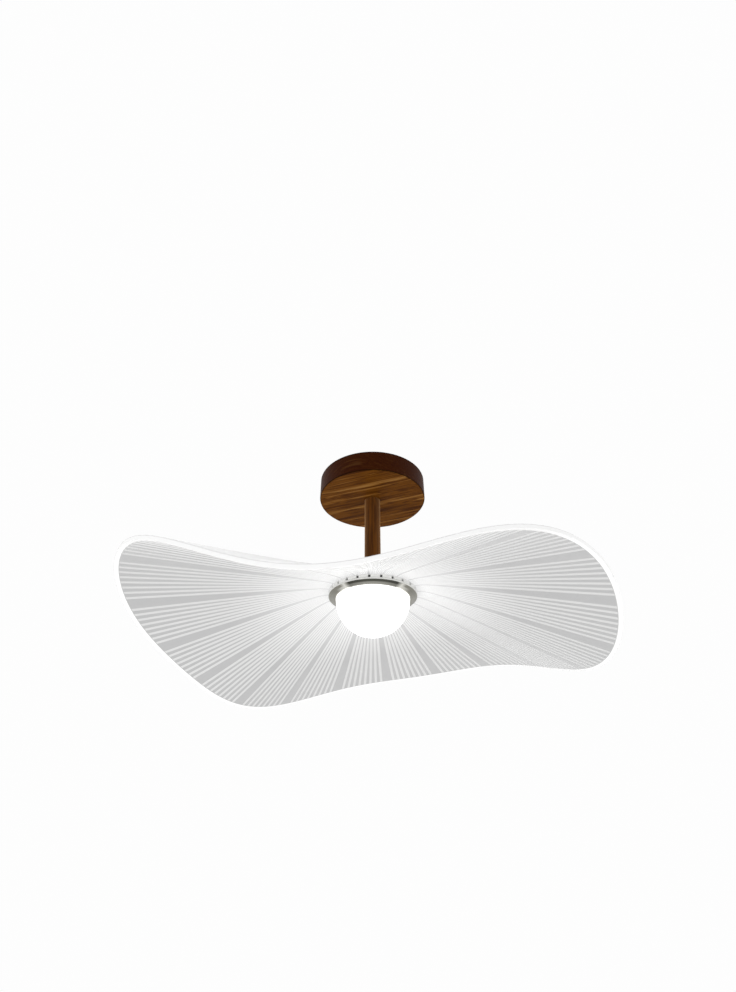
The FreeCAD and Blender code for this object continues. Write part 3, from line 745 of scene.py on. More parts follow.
# Finishes by the record's material slots
FINISHES: dict[str, Finish] = {
    # oiled walnut: brown, with pale streaks along the grain, and painted shade on its walls and outer
    # arrises
    "walnut": OiledWalnut("walnut_oiled_turned"),
    # plated and spun nickel: a warm grey with painted bright and dark fans of reflection
    "nickel": SpunNickel("nickel_plate_spun"),
    # etched acrylic: a cool grey sheet with glowing lines and a white rim
    "acrylic": EtchedAcrylic("acrylic_clear_laser_etched"),
    # opal acrylic: a white that glows
    "opal": OpalAcrylic("acrylic_opal_blown"),
    # clear silicone before lamps: a pale collar with painted shade in its slots
    "silicone": LitSilicone("silicone_clear_moulded"),
    # zinc over pressed steel: cool grey with a faint spangle
    "zinc_steel": SmallPart("steel_zinc_plated_pressed", "#A9ACB0", Make.PRESSED, 1.0, 0.38),
    # bare turned aluminium: bright, with fine tool marks
    "aluminium": SmallPart("aluminium_bare_turned", "#C9CACC", Make.TURNED, 1.0, 0.34),
    # white solder mask on a board: even, slightly glossy
    "white_board": SmallPart("solder_mask_white_printed", "#EDEDE8", Make.PRINTED, 0.0, 0.3),
    # polyimide strip under black mask: dark and dull
    "dark_strip": SmallPart("polyimide_black_printed", "#17171A", Make.PRINTED, 0.0, 0.5),
    # phosphor in clear resin: a lit warm white
    "emitter": SmallPart("phosphor_resin_cast", "#FFF7E6", Make.MOULDED, 0.0, 0.3, 1.5),
    # moulded rubber: black and dull
    "black_rubber": SmallPart("rubber_black_moulded", "#1A1A1B", Make.MOULDED, 0.0, 0.7),
    # ABS with a spark-eroded texture: white and satin
    "driver_case": SmallPart("abs_white_moulded", "#E4E4DF", Make.MOULDED, 0.0, 0.5),
    # natural nylon: warm white and waxy
    "nylon": SmallPart("nylon_natural_moulded", "#E8E6DA", Make.MOULDED, 0.0, 0.42),
    # brass bar, turned: yellow and bright
    "brass": SmallPart("brass_turned", "#C9A253", Make.TURNED, 1.0, 0.28),
    # closed-cell foam tape: dark, open and dull
    "foam": SmallPart("polyethylene_foam_cut", "#3A3A3D", Make.FOAMED, 0.0, 0.9),
    # PVC sheath: white, with a soft sheen from the die
    "lead_sheath": SmallPart("pvc_white_extruded", "#EAEAE5", Make.EXTRUDED, 0.0, 0.4),
}
# Walnut of the stem: finer, quieter grain that stands upright, a sheen down both sides, and a little painted
# shade
STEM_WALNUT = OiledWalnut(
    "walnut_oiled_stem", grain=Grain.UPRIGHT, dark="#3E1B01", middle="#683A08", light="#87561A",
    contrast=0.35, wall_shade=0.1, fuzz=1.0, ring=3.5, figure=Fibre(6.0, 9.0, 3.0),
    streak=Fibre(1.4, 28.0, 4.0), arris_shade=0.0)


def ring_skin(name: str, stacks: Sequence[Sequence[Ring]], closed: bool) -> Piece:
    """Skin stacks of rings into one piece; within a stack the rings have equal counts of points.

    Args:
        name: Name of the piece.
        stacks: The stacks, each with its rings in order and going the same way round.
        closed: True to join each stack's last ring to its first, False to cap both ends.

    Returns:
        The new mesh object, linked to the scene and shaded smooth.
    """
    points: list[Vector] = []
    faces = []
    for rings in stacks:
        count = len(rings[0])
        first = len(points)
        points += [point for ring in rings for point in ring]
        for step in range(len(rings) if closed else len(rings) - 1):
            low = first + step * count
            high = first + (step + 1) % len(rings) * count
            for column in range(count):
                after = (column + 1) % count
                faces.append((low + column, low + after, high + after, high + column))
        if not closed:
            faces.append(tuple(reversed(range(first, first + count))))
            faces.append(tuple(range(len(points) - count, len(points))))
    mesh = bpy.data.meshes.new(name)
    mesh.from_pydata(points, [], faces)
    mesh.validate()
    mesh.polygons.foreach_set("use_smooth", [True] * len(mesh.polygons))
    piece = bpy.data.objects.new(name, mesh)
    bpy.context.scene.collection.objects.link(piece)
    return piece


def sharpen(piece: Piece) -> None:
    """Shade a piece flat, for a part with crisp facets."""
    piece.data.polygons.foreach_set("use_smooth", [False] * len(piece.data.polygons))


def mark(piece: Piece, name: str, values: Sequence[float]) -> None:
    """Give each point of a piece a value of this name, which its finish can read."""
    piece.data.attributes.new(name, "FLOAT", "POINT").data.foreach_set("value", values)


def polar(radius: float, angle: float, height: float) -> Vector:
    """Return a point in metres from a radius in mm, an angle in radians and a height in mm."""
    return Vector((radius * math.cos(angle), radius * math.sin(angle), height)) * MM


def round_ring(radius: Outline, height: float, count: int) -> Ring:
    """Lay out one level ring about Z.

    Args:
        radius: Radius in millimetres for an angle in radians.
        height: Height in millimetres.
        count: How many points.

    Returns:
        The ring's points in metres.
    """
    angles = [math.tau * column / count for column in range(count)]
    return [polar(radius(angle), angle, height) for angle in angles]


def even(radius: float) -> Outline:
    """Return the radius of a plain circle for any angle."""
    return lambda angle: radius


def hexagon(flats: float) -> Outline:
    """Return the radius of a hexagon with a corner on +X, by angle, from its width across flats."""
    return lambda angle: flats / 2 / math.cos(angle % (math.pi / 3) - math.pi / 6)


def cross(arm: float, width: float) -> Outline:
    """Outline a cross with an arm on +X.

    Args:
        arm: Length of an arm in millimetres.
        width: Width of an arm.

    Returns:
        The radius of the cross by angle.
    """
    def radius(angle: float) -> float:
        """Return the distance to the cross's outline at an angle."""
        off = abs((angle + math.pi / 4) % (math.pi / 2) - math.pi / 4)
        return min(arm / math.cos(off), width / 2 / max(math.sin(off), 1e-6))
    return radius


class Drive(Enum):
    """Recess that a driver or key turns a screw by."""

    CROSS = "cross"
    SOCKET = "hexagon socket"


@dataclass(frozen=True)
class Screw:
    """A screw in millimetres; its driven face lies at z = 0 and looks down, and its shank points up.

    Attributes:
        head_radius: Radius of the head.
        head_height: Height of the head.
        shank_radius: Radius of the shank or point.
        length: Length over all.
        drive: Kind of its recess.
        recess_depth: Depth of the recess.
        crown: Width of the chamfer round the face.
        points: Points on each ring.
        arm: Length of a cross's arm, as a share of the head's radius.
        arm_width: Width of that arm, as such a share.
        floor: Size of the recess's floor beside its mouth.
    """

    head_radius: float
    head_height: float
    shank_radius: float
    length: float
    drive: Drive = Drive.CROSS
    recess_depth: float = 1.0
    crown: float = 0.35
    points: int = 72
    arm: float = 0.62
    arm_width: float = 0.26
    floor: float = 0.7

    def recess(self, share: float) -> Outline:
        """Outline the recess.

        Args:
            share: Its size beside the recess's mouth.

        Returns:
            Its radius by angle.
        """
        size = share * self.head_radius
        if self.drive is Drive.SOCKET:
            return hexagon(size)
        return cross(self.arm * size, self.arm_width * size)

    def rings(self, place: Matrix) -> list[Ring]:
        """Lay out the screw's rings from the recess's floor over the head to the shank's end.

        Args:
            place: Where the screw stands, in metres.

        Returns:
            The rings in metres.
        """
        head, shank = even(self.head_radius), even(self.shank_radius)
        outlines = (
            (self.recess(self.floor), self.recess_depth), (self.recess(1.0), 0.0),
            (even(self.head_radius - self.crown), 0.0), (head, self.crown), (head, self.head_height),
            (shank, self.head_height), (shank, self.length))
        return [[place @ point for point in round_ring(radius, height, self.points)]
                for radius, height in outlines]


class ScrewCircle(NamedTuple):
    """Screws of one kind, spaced evenly on a circle about the axis, in millimetres.

    Attributes:
        screw: Their sizes.
        radius: Radius of the circle.
        first: Angle of one of them in degrees.
        count: How many there are.
    """

    screw: Screw
    radius: float
    first: float
    count: int = 3

    def spots(self) -> list[Span]:
        """Return X and Y of each screw's axis."""
        angles = [math.radians(self.first + 360.0 * number / self.count) for number in range(self.count)]
        return [(self.radius * math.cos(angle), self.radius * math.sin(angle)) for angle in angles]


class SubAssembly:
    """Pieces that are fitted together and move as one.

    Attributes:
        body: CAD body that they move with.
        nodes: Their CAD nodes.
    """

    body: ClassVar[str] = "hanger"
    nodes: ClassVar[tuple[str, ...]] = ()

    def finish(self, node: str) -> Finish:
        """Return the finish of a node's slot in the record."""
        return FINISHES[SLOTS[node]]

    def dress(self) -> None:
        """Give each CAD node its finish."""
        for node in self.nodes:
            self.finish(node).dress(frame["nodes"][node])
        LOG.info("dressed %s: %s", type(self).__name__, ", ".join(self.nodes))

    def fit(self, piece: Piece, node: str) -> None:
        """Let a finer piece stand in a CAD node's place, on its body and in its finish.

        Args:
            piece: The new mesh object.
            node: CAD node that it stands for.
        """
        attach(piece, self.body)
        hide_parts(node)
        self.finish(node).dress(piece)
        LOG.info("built %s for %s with %d faces", piece.name, node, len(piece.data.polygons))

    def fit_screws(self, node: str, screw: Screw, spots: Sequence[Span]) -> None:
        """Put screws with driven recesses in a CAD node's place, heads down at its lower end.

        Args:
            node: CAD node of the screws.
            screw: Their sizes.
            spots: Place of each screw's axis across X and Y in millimetres.
        """
        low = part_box(node)[0].z
        stacks = [screw.rings(Matrix.Translation((x * MM, y * MM, low))) for x, y in spots]
        piece = ring_skin(node + "_driven", stacks, closed=False)
        sharpen(piece)
        self.fit(piece, node)

    def build(self) -> None:
        """Make the finer pieces; a sub-assembly whose CAD nodes say all makes none."""


@dataclass
class CeilingPlate(SubAssembly):
    """Pressed plate, band and cup that are screwed to the ceiling, in millimetres.

    Attributes:
        earth_screw: Sizes of the earth terminal's screw.
    """

    nodes: ClassVar[tuple[str, ...]] = (
        "ceiling_plate", "grip_band", "stem_cup", "cable_grommet", "earth_screw")
    earth_screw: Screw = Screw(3.5, 2.4, 2.0, 3.9, recess_depth=1.4)

    def build(self) -> None:
        """Make the earth screw with its cross recess."""
        low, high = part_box("earth_screw")
        middle = (low + high) / 2 / MM
        self.fit_screws("earth_screw", self.earth_screw, [(middle.x, middle.y)])


@dataclass
class Wiring(SubAssembly):
    """Driver, terminal block and leads in the canopy, in millimetres.

    Attributes:
        terminal_screw: Sizes of a clamp screw.
        poles: How many poles the terminal block has.
    """

    nodes: ClassVar[tuple[str, ...]] = (
        "led_driver", "driver_pad", "terminal_block", "terminal_screws", "input_lead", "stem_lead")
    terminal_screw: Screw = Screw(1.6, 0.6, 1.3, 0.8, recess_depth=0.4, crown=0.15)
    poles: int = 3

    def build(self) -> None:
        """Make the terminal block's clamp screws, two on each pole."""
        low, high = (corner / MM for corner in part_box("terminal_screws"))
        inset = self.terminal_screw.head_radius
        reach = high.x - inset
        columns = [reach * (2 * pole / (self.poles - 1) - 1) for pole in range(self.poles)]
        spots = [(x, y) for x in columns for y in (low.y + inset, high.y - inset)]
        self.fit_screws("terminal_screws", self.terminal_screw, spots)


@dataclass
class Stem(SubAssembly):
    """Walnut sleeve on a threaded tube with its nuts, in millimetres.

    Attributes:
        tube_radius: Radius over the tube's thread.
        bore: Radius of the tube's hole.
        pitch: Pitch of the thread.
        thread_depth: Depth of the thread.
        threaded: Length of the thread at each end.
        runout: Length over which the thread ends.
        rows_per_turn: Rings of the mesh in each turn of the thread.
        flats: Width of the nuts across flats.
        chamfer: Height of their chamfers.
        face_clearance: How far their turned faces stand past the flats.
        bore_clearance: Room between a nut and the tube.
        points: Points on each ring.
    """

    nodes: ClassVar[tuple[str, ...]] = ("stem_tube", "stem_nut", "stem_washer", "stem_sleeve", "hub_nut")
    tube_radius: float = 4.98
    bore: float = 3.8
    pitch: float = 1.0
    thread_depth: float = 0.5
    threaded: float = 16.0
    runout: float = 1.0
    rows_per_turn: int = 6
    flats: float = 14.0
    chamfer: float = 0.7
    face_clearance: float = 0.05
    bore_clearance: float = 0.02
    points: int = 48

    def finish(self, node: str) -> Finish:
        """Return the finish of a node: the sleeve's grain stands upright."""
        return STEM_WALNUT if node == "stem_sleeve" else super().finish(node)

    def thread(self, height: float) -> Outline:
        """Outline the tube where a helix is cut into it.

        Args:
            height: Height in millimetres.

        Returns:
            The tube's radius by angle.
        """
        def radius(angle: float) -> float:
            """Return the distance to the thread's flank at an angle."""
            phase = (height / self.pitch - angle / math.tau) % 1.0
            return self.tube_radius - self.thread_depth * (1 - abs(2 * phase - 1))
        return radius

    def build_tube(self) -> None:
        """Make the tube with a cut thread at both ends."""
        low, high = (corner.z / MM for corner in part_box("stem_tube"))
        step = self.pitch / self.rows_per_turn
        rows = range(int(self.threaded / step))
        plain = self.threaded + self.runout
        section = [(even(self.bore), low)]
        section += [(self.thread(low + step * row), low + step * row) for row in rows]
        section += [(even(self.tube_radius), height) for height in (low + plain, high - plain)]
        section += [(self.thread(high - step * row), high - step * row) for row in reversed(rows)]
        section.append((even(self.bore), high))
        rings = [round_ring(radius, height, self.points) for radius, height in section]
        self.fit(ring_skin("stem_tube_threaded", [rings], closed=True), "stem_tube")

    def build_nut(self, node: str) -> None:
        """Make a hexagon nut with turned corners.

        Args:
            node: CAD node that it stands for.
        """
        bottom, top = (corner.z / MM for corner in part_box(node))
        turned = even(self.flats / 2 + self.face_clearance)
        bore = even(self.tube_radius + self.bore_clearance)
        side = hexagon(self.flats)
        section = (
            (bore, bottom), (turned, bottom), (side, bottom + self.chamfer), (side, top - self.chamfer),
            (turned, top), (bore, top))
        rings = [round_ring(radius, height, self.points) for radius, height in section]
        piece = ring_skin(node + "_chamfered", [rings], closed=True)
        sharpen(piece)
        self.fit(piece, node)

    def build(self) -> None:
        """Make the tube and both of its nuts."""
        self.build_tube()
        self.build_nut("stem_nut")
        self.build_nut("hub_nut")


@dataclass
class Hub(SubAssembly):
    """Cap, heat sink, lamps, gaskets and ring that clamp the shade, in millimetres.

    Attributes:
        slots: How many slots the collar has.
        first_slot: Angle of one of them in degrees.
        slot_width: Width of a slot.
        slot_depth: Depth of a slot.
        slot_foot: Height of the wall left below the slots.
        slot_lid: Height of the wall left above them.
        taper: Slope of a slot's sides.
        columns_between: Columns of the mesh between two slots.
        collar_inner: Inner radius of the collar.
        ring_screws: The screws that hold the ring.
    """

    nodes: ClassVar[tuple[str, ...]] = (
        "hub_cap", "heat_sink", "edge_strip", "edge_emitters", "strip_jumper", "upper_gasket",
        "lower_gasket", "clamp_ring", "ring_screws")
    slots: int = 24
    first_slot: float = 10.0
    slot_width: float = 2.6
    slot_depth: float = 4.0
    slot_foot: float = 0.2
    slot_lid: float = 0.1
    taper: float = 0.08
    columns_between: int = 6
    collar_inner: float = 39.4
    ring_screws: ScrewCircle = ScrewCircle(Screw(2.6, 2.0, 1.5, 10.0, recess_depth=1.3), 25.3, 60.0)

    def collar_columns(self, outer: float) -> list[Span]:
        """List the collar's columns.

        Args:
            outer: Radius of the collar's wall.

        Returns:
            For each column its angle in radians, and 1 at the bottom of a slot or 0 on the wall.
        """
        found = []
        pitch = math.tau / self.slots
        half = self.slot_width / 2 / outer
        edge = self.taper / outer
        between = pitch - 2 * half
        for slot in range(self.slots):
            middle = math.radians(self.first_slot) + pitch * slot
            found += [(middle - half, 0.0), (middle - half + edge, 1.0), (middle + half - edge, 1.0)]
            found += [(middle + half + between * step / self.columns_between, 0.0)
                      for step in range(self.columns_between)]
        return found

    def build_collar(self) -> None:
        """Make the lower gasket as a collar with slots spaced evenly round its wall."""
        low, high = (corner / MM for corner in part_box("lower_gasket"))
        columns = self.collar_columns(high.x)
        foot, lid = low.z + self.slot_foot, high.z - self.slot_lid
        levels = ((low.z, 0.0), (foot, 0.0), (foot + self.taper, 1.0), (lid - self.taper, 1.0), (lid, 0.0),
                  (high.z, 0.0))
        inner = [[polar(self.collar_inner, angle, height) for angle, _ in columns]
                 for height in (low.z, high.z)]
        depths = [[deep * open_here for _, deep in columns] for _, open_here in levels]
        wall = [[polar(high.x - self.slot_depth * deep, angle, height)
                 for (angle, _), deep in zip(columns, row)]
                for (height, _), row in zip(levels, depths)]
        piece = ring_skin("lower_gasket_slotted", [[inner[0], *wall, inner[1]]], closed=True)
        sharpen(piece)
        plain = [0.0] * len(columns)
        mark(piece, "slot", plain + [deep for row in depths for deep in row] + plain)
        self.fit(piece, "lower_gasket")

    def build(self) -> None:
        """Make the slotted collar and the ring's screws."""
        self.build_collar()
        self.fit_screws("ring_screws", self.ring_screws.screw, self.ring_screws.spots())


@dataclass
class Downlight(SubAssembly):
    """Round lamp board under the hub, in millimetres.

    Attributes:
        board_screws: The screws that hold the board.
    """

    nodes: ClassVar[tuple[str, ...]] = (
        "downlight_board", "downlight_chips", "board_screws", "board_connector")
    board_screws: ScrewCircle = ScrewCircle(Screw(2.2, 1.6, 1.25, 7.6, recess_depth=1.0), 18.3, 30.0)

    def build(self) -> None:
        """Make the board's screws."""
        self.fit_screws("board_screws", self.board_screws.screw, self.board_screws.spots())


class Dome(SubAssembly):
    """Opal dome on its twist lock; its CAD node has the whole shape."""

    body: ClassVar[str] = "dome_diffuser"
    nodes: ClassVar[tuple[str, ...]] = ("dome",)


@dataclass
class Canopy(SubAssembly):
    """Turned walnut cup that slides up over the plate, with its grub screws, in millimetres.

    Attributes:
        grub_screw: Sizes of a grub screw.
    """

    body: ClassVar[str] = "canopy_cover"
    nodes: ClassVar[tuple[str, ...]] = ("canopy", "canopy_inserts", "canopy_grub_screws")
    grub_screw: Screw = Screw(2.0, 6.6, 1.3, 7.2, drive=Drive.SOCKET, recess_depth=1.8, crown=0.25)

    def build(self) -> None:
        """Make the two grub screws, their sockets outwards."""
        low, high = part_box("canopy_grub_screws")
        height = (low.z + high.z) / 2
        stacks = []
        for end, turn in ((high.x, -90.0), (low.x, 90.0)):
            place = Matrix.Translation((end, 0.0, height)) @ Matrix.Rotation(math.radians(turn), 4, "Y")
            stacks.append(self.grub_screw.rings(place))
        piece = ring_skin("canopy_grub_screws_socketed", stacks, closed=False)
        sharpen(piece)
        self.fit(piece, "canopy_grub_screws")


class Wave(NamedTuple):
    """One wave of the shade's rim.

    Attributes:
        count: How many crests go round.
        size: Half of its height in millimetres.
        crest: Angle of one crest in degrees.
        form_step: Degrees between the points that set the form, which eases short waves a little.
    """

    count: int
    size: float
    crest: float
    form_step: float = 5.0

    def at(self, degrees: float) -> float:
        """Return the wave's height at an angle, eased as the form eases it."""
        ease = (2 + math.cos(math.radians(self.form_step * self.count))) / 3
        return ease * self.size * math.cos(math.radians(self.count * (degrees - self.crest)))


class Column(NamedTuple):
    """One column of the shade's mesh, on its way round.

    Attributes:
        middle: Angle of its line, or its own angle in a plain band, in degrees.
        across: Place across that line, from -1 to 1; more than 1 in a plain band.
    """

    middle: float
    across: float = 2.0


class Station(NamedTuple):
    """One ring of the shade's mesh, on the way round its section.

    Attributes:
        share: -1 at the hole, 0 at the edge of the flat, 1 at the outer end.
        inset: Distance of that outer end from the rim, or of the hole's end from the hole.
        lift: Height above the underside.
        groove: Share of the full depth of a line.
        etch: How plainly a line shows there.
        field: 1 inside the etched field, 0 in the clear border.
        arris: 1 on the rounds of the edges.
    """

    share: float
    inset: float
    lift: float
    groove: float = 0.0
    etch: float = 0.0
    field: float = 1.0
    arris: float = 0.0


@dataclass
class Shade(SubAssembly):
    """Heat-formed acrylic leaf with a three-lobed rim and groups of etched radial lines, in millimetres.

    Attributes:
        hole: Radius of the hole.
        flat: Radius of the flat round it.
        field: Mean radius of the etched field.
        border: Width of the clear border round that field.
        thickness: Thickness of the sheet.
        droop: Mean height that the rim hangs under the clamp ring's top.
        droop_start: How soon the sheet falls; a small share starts it at the flat.
        arris: Size of the edges' rounds.
        under_arris: How far the lower rounds dim beside the upper ones.
        plan_waves: Waves of the rim's radius.
        height_waves: Waves of the rim's height.
        groups: How many groups of lines go round.
        gap_angle: Angle of the middle of one plain band in degrees.
        band_inset: Degrees from that middle to the columns beside it.
        lines: How many lines a group has.
        line_pitch: Degrees between two lines.
        line_width: Width of a line.
        line_crowd: Half of a line's width where lines crowd, as a share of their pitch.
        line_depth: Depth of a line.
        line_start: Radius where the lines begin.
        line_ramp: Share of the flat over which a line runs out there.
        line_end: Distance of the lines' outer ends from the border.
        line_rows: Places of the mesh's columns across a line.
        border_step: Width over which colours pass at the border's and the rim's edges.
        edge_step: Height over which they pass on the cut edge.
        flat_rows: Shares of the flat's plain rings, below and above.
        rim_allowance: How far the rim stays inside the CAD's.
        upper_etch: How plainly a line shows through on the top.
        upper_field: How much of the field's grey shows on the top.
        upper_fade: How much of that is lost towards the rim.
        upper_power: How late that happens.
        slope_rows: Rings of the mesh along the underside.
        upper_rows: Rings of the mesh along the top.
    """

    nodes: ClassVar[tuple[str, ...]] = ("shade",)
    hole: float = 39.0
    flat: float = 47.9
    field: float = 219.7
    border: float = 4.0
    thickness: float = 4.0
    droop: float = 46.7
    droop_start: float = 0.05
    arris: float = 0.35
    under_arris: float = 0.5
    plan_waves: tuple[Wave, ...] = (
        Wave(1, 5.7, -103.3), Wave(2, 7.8, 26.6), Wave(3, 6.8, -21.5), Wave(4, 3.8, 32.9))
    height_waves: tuple[Wave, ...] = (
        Wave(1, 4.3, 35.8), Wave(2, 9.6, 45.8), Wave(3, 21.5, -44.7), Wave(4, 7.8, 36.0),
        Wave(5, 1.8, 19.3), Wave(6, 3.0, -19.5))
    groups: int = 20
    gap_angle: float = 12.4
    band_inset: float = 0.7
    lines: int = 8
    line_pitch: float = 1.946
    line_width: float = 3.8
    line_crowd: float = 0.42
    line_depth: float = 0.15
    line_start: float = 46.0
    line_ramp: float = 0.03
    line_end: float = 0.6
    line_rows: tuple[float, ...] = (-1.0, -0.55, 0.0, 0.55, 1.0)
    border_step: float = 0.5
    edge_step: float = 0.4
    flat_rows: Span = (-0.6, -0.5)
    rim_allowance: float = 0.1
    upper_etch: float = 0.8
    upper_field: float = 0.6
    upper_fade: float = 0.36
    upper_power: int = 3
    slope_rows: int = 30
    upper_rows: int = 14

    def columns(self) -> list[Column]:
        """List the mesh's columns round the shade.

        Returns:
            The columns in order, from one plain band to the next.
        """
        found = []
        pitch = 360.0 / self.groups
        for group in range(self.groups):
            start = self.gap_angle + pitch * group
            found += [Column(start), Column(start + self.band_inset)]
            for line in range(self.lines):
                middle = start + pitch / 2 + (line - (self.lines - 1) / 2) * self.line_pitch
                found += [Column(middle, across) for across in self.line_rows]
            found.append(Column(start + pitch - self.band_inset))
        return found

    def angle_at(self, column: Column, radius: float) -> float:
        """Find a column's angle: lines keep their width until they crowd.

        Args:
            column: Column of the mesh.
            radius: Radius in millimetres.

        Returns:
            The angle in degrees.
        """
        if column.across > 1:
            return column.middle
        half = min(math.degrees(self.line_width / 2 / radius), self.line_crowd * self.line_pitch)
        return column.middle + half * column.across

    def stations(self) -> list[Station]:
        """List the mesh's rings: along the underside, up the rim, back over the top, down the hole.

        Returns:
            The rings in order.
        """
        arris, full, border = self.arris, self.thickness, self.border
        end = border + self.line_end
        border_row, rim_row = border - self.border_step, arris + self.border_step
        edge_row = arris + self.edge_step
        start = (self.line_start - self.flat) / (self.flat - self.hole)
        found = [Station(-1, arris, 0)]
        found += [Station(share, 0, 0) for share in (self.flat_rows[0], start - self.line_ramp)]
        shares = [start, *(row / self.slope_rows for row in range(self.slope_rows + 1))]
        found += [Station(share, end if share >= 0 else 0, 0, groove=1, etch=1) for share in shares]
        found.append(Station(1, border, 0))
        # clear border, lower round, cut edge, upper round, clear border
        found += [Station(1, inset, 0, field=0) for inset in (border_row, rim_row)]
        found += [Station(1, inset, lift, field=0, arris=self.under_arris)
                  for inset, lift in ((arris, 0), (0, arris))]
        found += [Station(1, 0, lift, field=0) for lift in (edge_row, full - edge_row)]
        found += [Station(1, inset, lift, field=0, arris=1)
                  for inset, lift in ((0, full - arris), (arris, full))]
        found += [Station(1, inset, full, field=0) for inset in (rim_row, border_row)]
        found.append(Station(1, border, full, field=self.upper_field - self.upper_fade))
        for row in reversed(range(self.upper_rows + 1)):
            share = row / self.upper_rows
            paler = self.upper_field - self.upper_fade * share ** self.upper_power
            found.append(Station(share, end, full, etch=self.upper_etch, field=paler))
        found += [Station(self.flat_rows[1], 0, full), Station(-1, arris, full)]
        found += [Station(-1, 0, lift) for lift in (full - arris, arris)]
        return found

    def point(self, column: Column, station: Station, under: float, ring_top: float) -> Vector:
        """Place one point of the sheet.

        Args:
            column: Column of the mesh.
            station: Ring of the mesh.
            under: Height of the flat's underside in millimetres.
            ring_top: Height of the clamp ring's top in millimetres.

        Returns:
            The point in metres.
        """
        degrees = column.middle
        reach = 0.0
        # the rim's radius hangs on the angle and the angle on the radius, so they are found in two rounds
        for _ in range(2):
            swell = sum(wave.at(degrees) for wave in self.plan_waves)
            rim = self.field + self.border + swell - self.rim_allowance
            if station.share < 0:
                radius = self.flat + (self.flat - self.hole - station.inset) * station.share
            else:
                radius = self.flat + (rim - station.inset - self.flat) * station.share
                reach = (radius - self.flat) / (rim - self.flat)
            degrees = self.angle_at(column, radius)
        fall = reach ** 2 * (1 + self.droop_start) / (reach + self.droop_start)
        drop = under - ring_top + self.droop - sum(wave.at(degrees) for wave in self.height_waves)
        cut = station.groove * self.line_depth * max(0.0, 1 - column.across ** 2)
        return polar(radius, math.radians(degrees), under - drop * fall + station.lift + cut)

    def build(self) -> None:
        """Make the sheet with its lines in place of the plain CAD one, marked for its finish."""
        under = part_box("shade")[1].z / MM - self.thickness
        ring_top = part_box("clamp_ring")[1].z / MM
        columns = self.columns()
        stations = self.stations()
        rings = [[self.point(column, station, under, ring_top) for column in columns]
                 for station in stations]
        piece = ring_skin("shade_leaf", [rings], closed=True)
        spots = [(station, float(abs(column.across) < 1)) for station in stations for column in columns]
        mark(piece, "etch", [station.etch * on_line for station, on_line in spots])
        mark(piece, "frost", [station.groove * on_line for station, on_line in spots])
        mark(piece, "field", [station.field for station, _ in spots])
        mark(piece, "arris", [station.arris for station, _ in spots])
        self.fit(piece, "shade")


class Softbox(NamedTuple):
    """A square soft lamp.

    Attributes:
        name: Name of the lamp.
        place: Where it hangs, in metres.
        size: Length of its side in metres.
        power: Power in watts.
    """

    name: str
    place: Spot
    size: float
    power: float


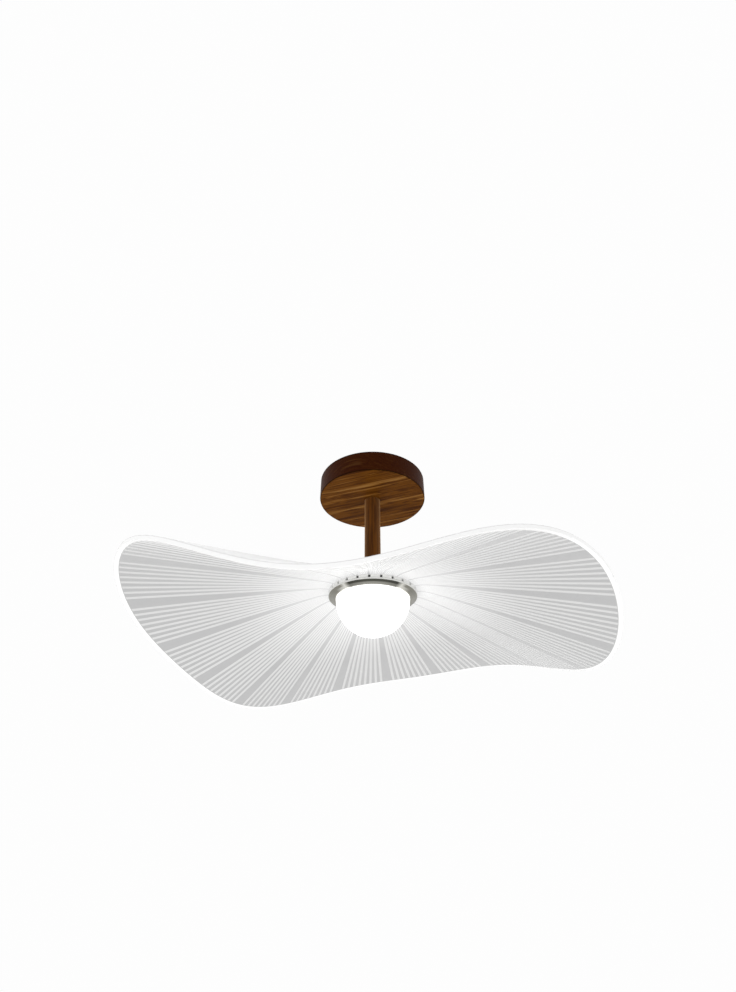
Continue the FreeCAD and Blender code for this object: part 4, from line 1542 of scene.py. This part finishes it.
@dataclass
class Studio:
    """Soft light, pale floor and the camera, in metres.

    Attributes:
        world_light: Light from all sides on the object.
        backdrop: White that the camera and reflections see behind it.
        floor_height: Height of the floor.
        floor_radius: Radius of the floor.
        floor_thickness: Thickness of the floor.
        floor_points: Points on the floor's rim.
        camera_place: Where the camera stands.
        camera_pitch: Turn of the camera about X in degrees; 90 is level.
        camera_lens: Focal length in millimetres.
        target: Point that the lamps face.
        lamps: The softboxes.
    """

    world_light: float = 0.55
    backdrop: float = 0.985
    floor_height: float = -2.4
    floor_radius: float = 12.0
    floor_thickness: float = 0.02
    floor_points: int = 96
    camera_place: Spot = (-0.005, -0.5129, -0.3662)
    camera_pitch: float = 124.18
    camera_lens: float = 19.42
    target: Spot = (0.0, 0.0, -0.13)
    lamps: tuple[Softbox, ...] = (
        Softbox("key_softbox", (-1.5, -1.6, -0.9), 1.2, 16.0),
        Softbox("fill_softbox", (1.7, -1.3, -0.7), 1.2, 9.0),
        Softbox("back_softbox", (-0.9, 1.7, -1.5), 1.2, 7.0),
        Softbox("side_softbox", (1.7, 0.9, -1.3), 1.2, 6.0),
        Softbox("floor_softbox", (0.0, -0.6, -2.2), 1.6, 14.0))

    def build_world(self) -> None:
        """Light the scene evenly and show plain white behind it, also in reflections."""
        scene = bpy.context.scene
        scene.world = scene.world or bpy.data.worlds.new("studio")
        scene.world.use_nodes = True
        tree = scene.world.node_tree
        tree.nodes.clear()
        strength = add(tree, "MapRange", {
            "Value": seen_straight(tree), "To Min": self.world_light, "To Max": self.backdrop})
        sky = add(tree, "Background", {"Color": linear(WHITE), "Strength": strength})
        add(tree, "OutputWorld", {"Surface": sky})

    def build_lamps(self) -> None:
        """Hang the softboxes, each turned to the light."""
        for name, place, size, power in self.lamps:
            lamp = bpy.data.lights.new(name, "AREA")
            lamp.size = size
            lamp.energy = power
            holder = bpy.data.objects.new(name, lamp)
            holder.location = place
            towards = Vector(self.target) - Vector(place)
            holder.rotation_euler = towards.to_track_quat("-Z", "Y").to_euler()
            holder.visible_camera = False
            holder.visible_glossy = False
            bpy.context.scene.collection.objects.link(holder)

    def build_floor(self) -> None:
        """Lay a round pale floor far below."""
        outline = even(self.floor_radius / MM)
        rings = [round_ring(outline, (self.floor_height - drop) / MM, self.floor_points)
                 for drop in (self.floor_thickness, 0.0)]
        floor = ring_skin("floor", [rings], closed=False)
        PaleFloor("plaster_pale_trowelled").dress(floor)

    def build_camera(self) -> None:
        """Set the camera at the photo's viewing angle."""
        camera = bpy.data.objects.new("camera", bpy.data.cameras.new("camera"))
        camera.data.lens = self.camera_lens
        camera.location = self.camera_place
        camera.rotation_euler = Euler((math.radians(self.camera_pitch), 0.0, 0.0))
        bpy.context.scene.collection.objects.link(camera)
        bpy.context.scene.camera = camera

    def build(self) -> None:
        """Set world, lamps, floor, camera and plain colour handling."""
        self.build_world()
        self.build_lamps()
        self.build_floor()
        self.build_camera()
        bpy.context.scene.view_settings.view_transform = "Standard"


def main() -> None:
    """Dress and build the sub-assemblies in order, then set up the studio."""
    logging.basicConfig(level=logging.INFO, format="%(name)s: %(message)s")
    for part in (CeilingPlate(), Wiring(), Stem(), Hub(), Shade(), Downlight(), Dome(), Canopy()):
        part.dress()
        part.build()
    Studio().build()


if __name__ == "__main__":
    main()
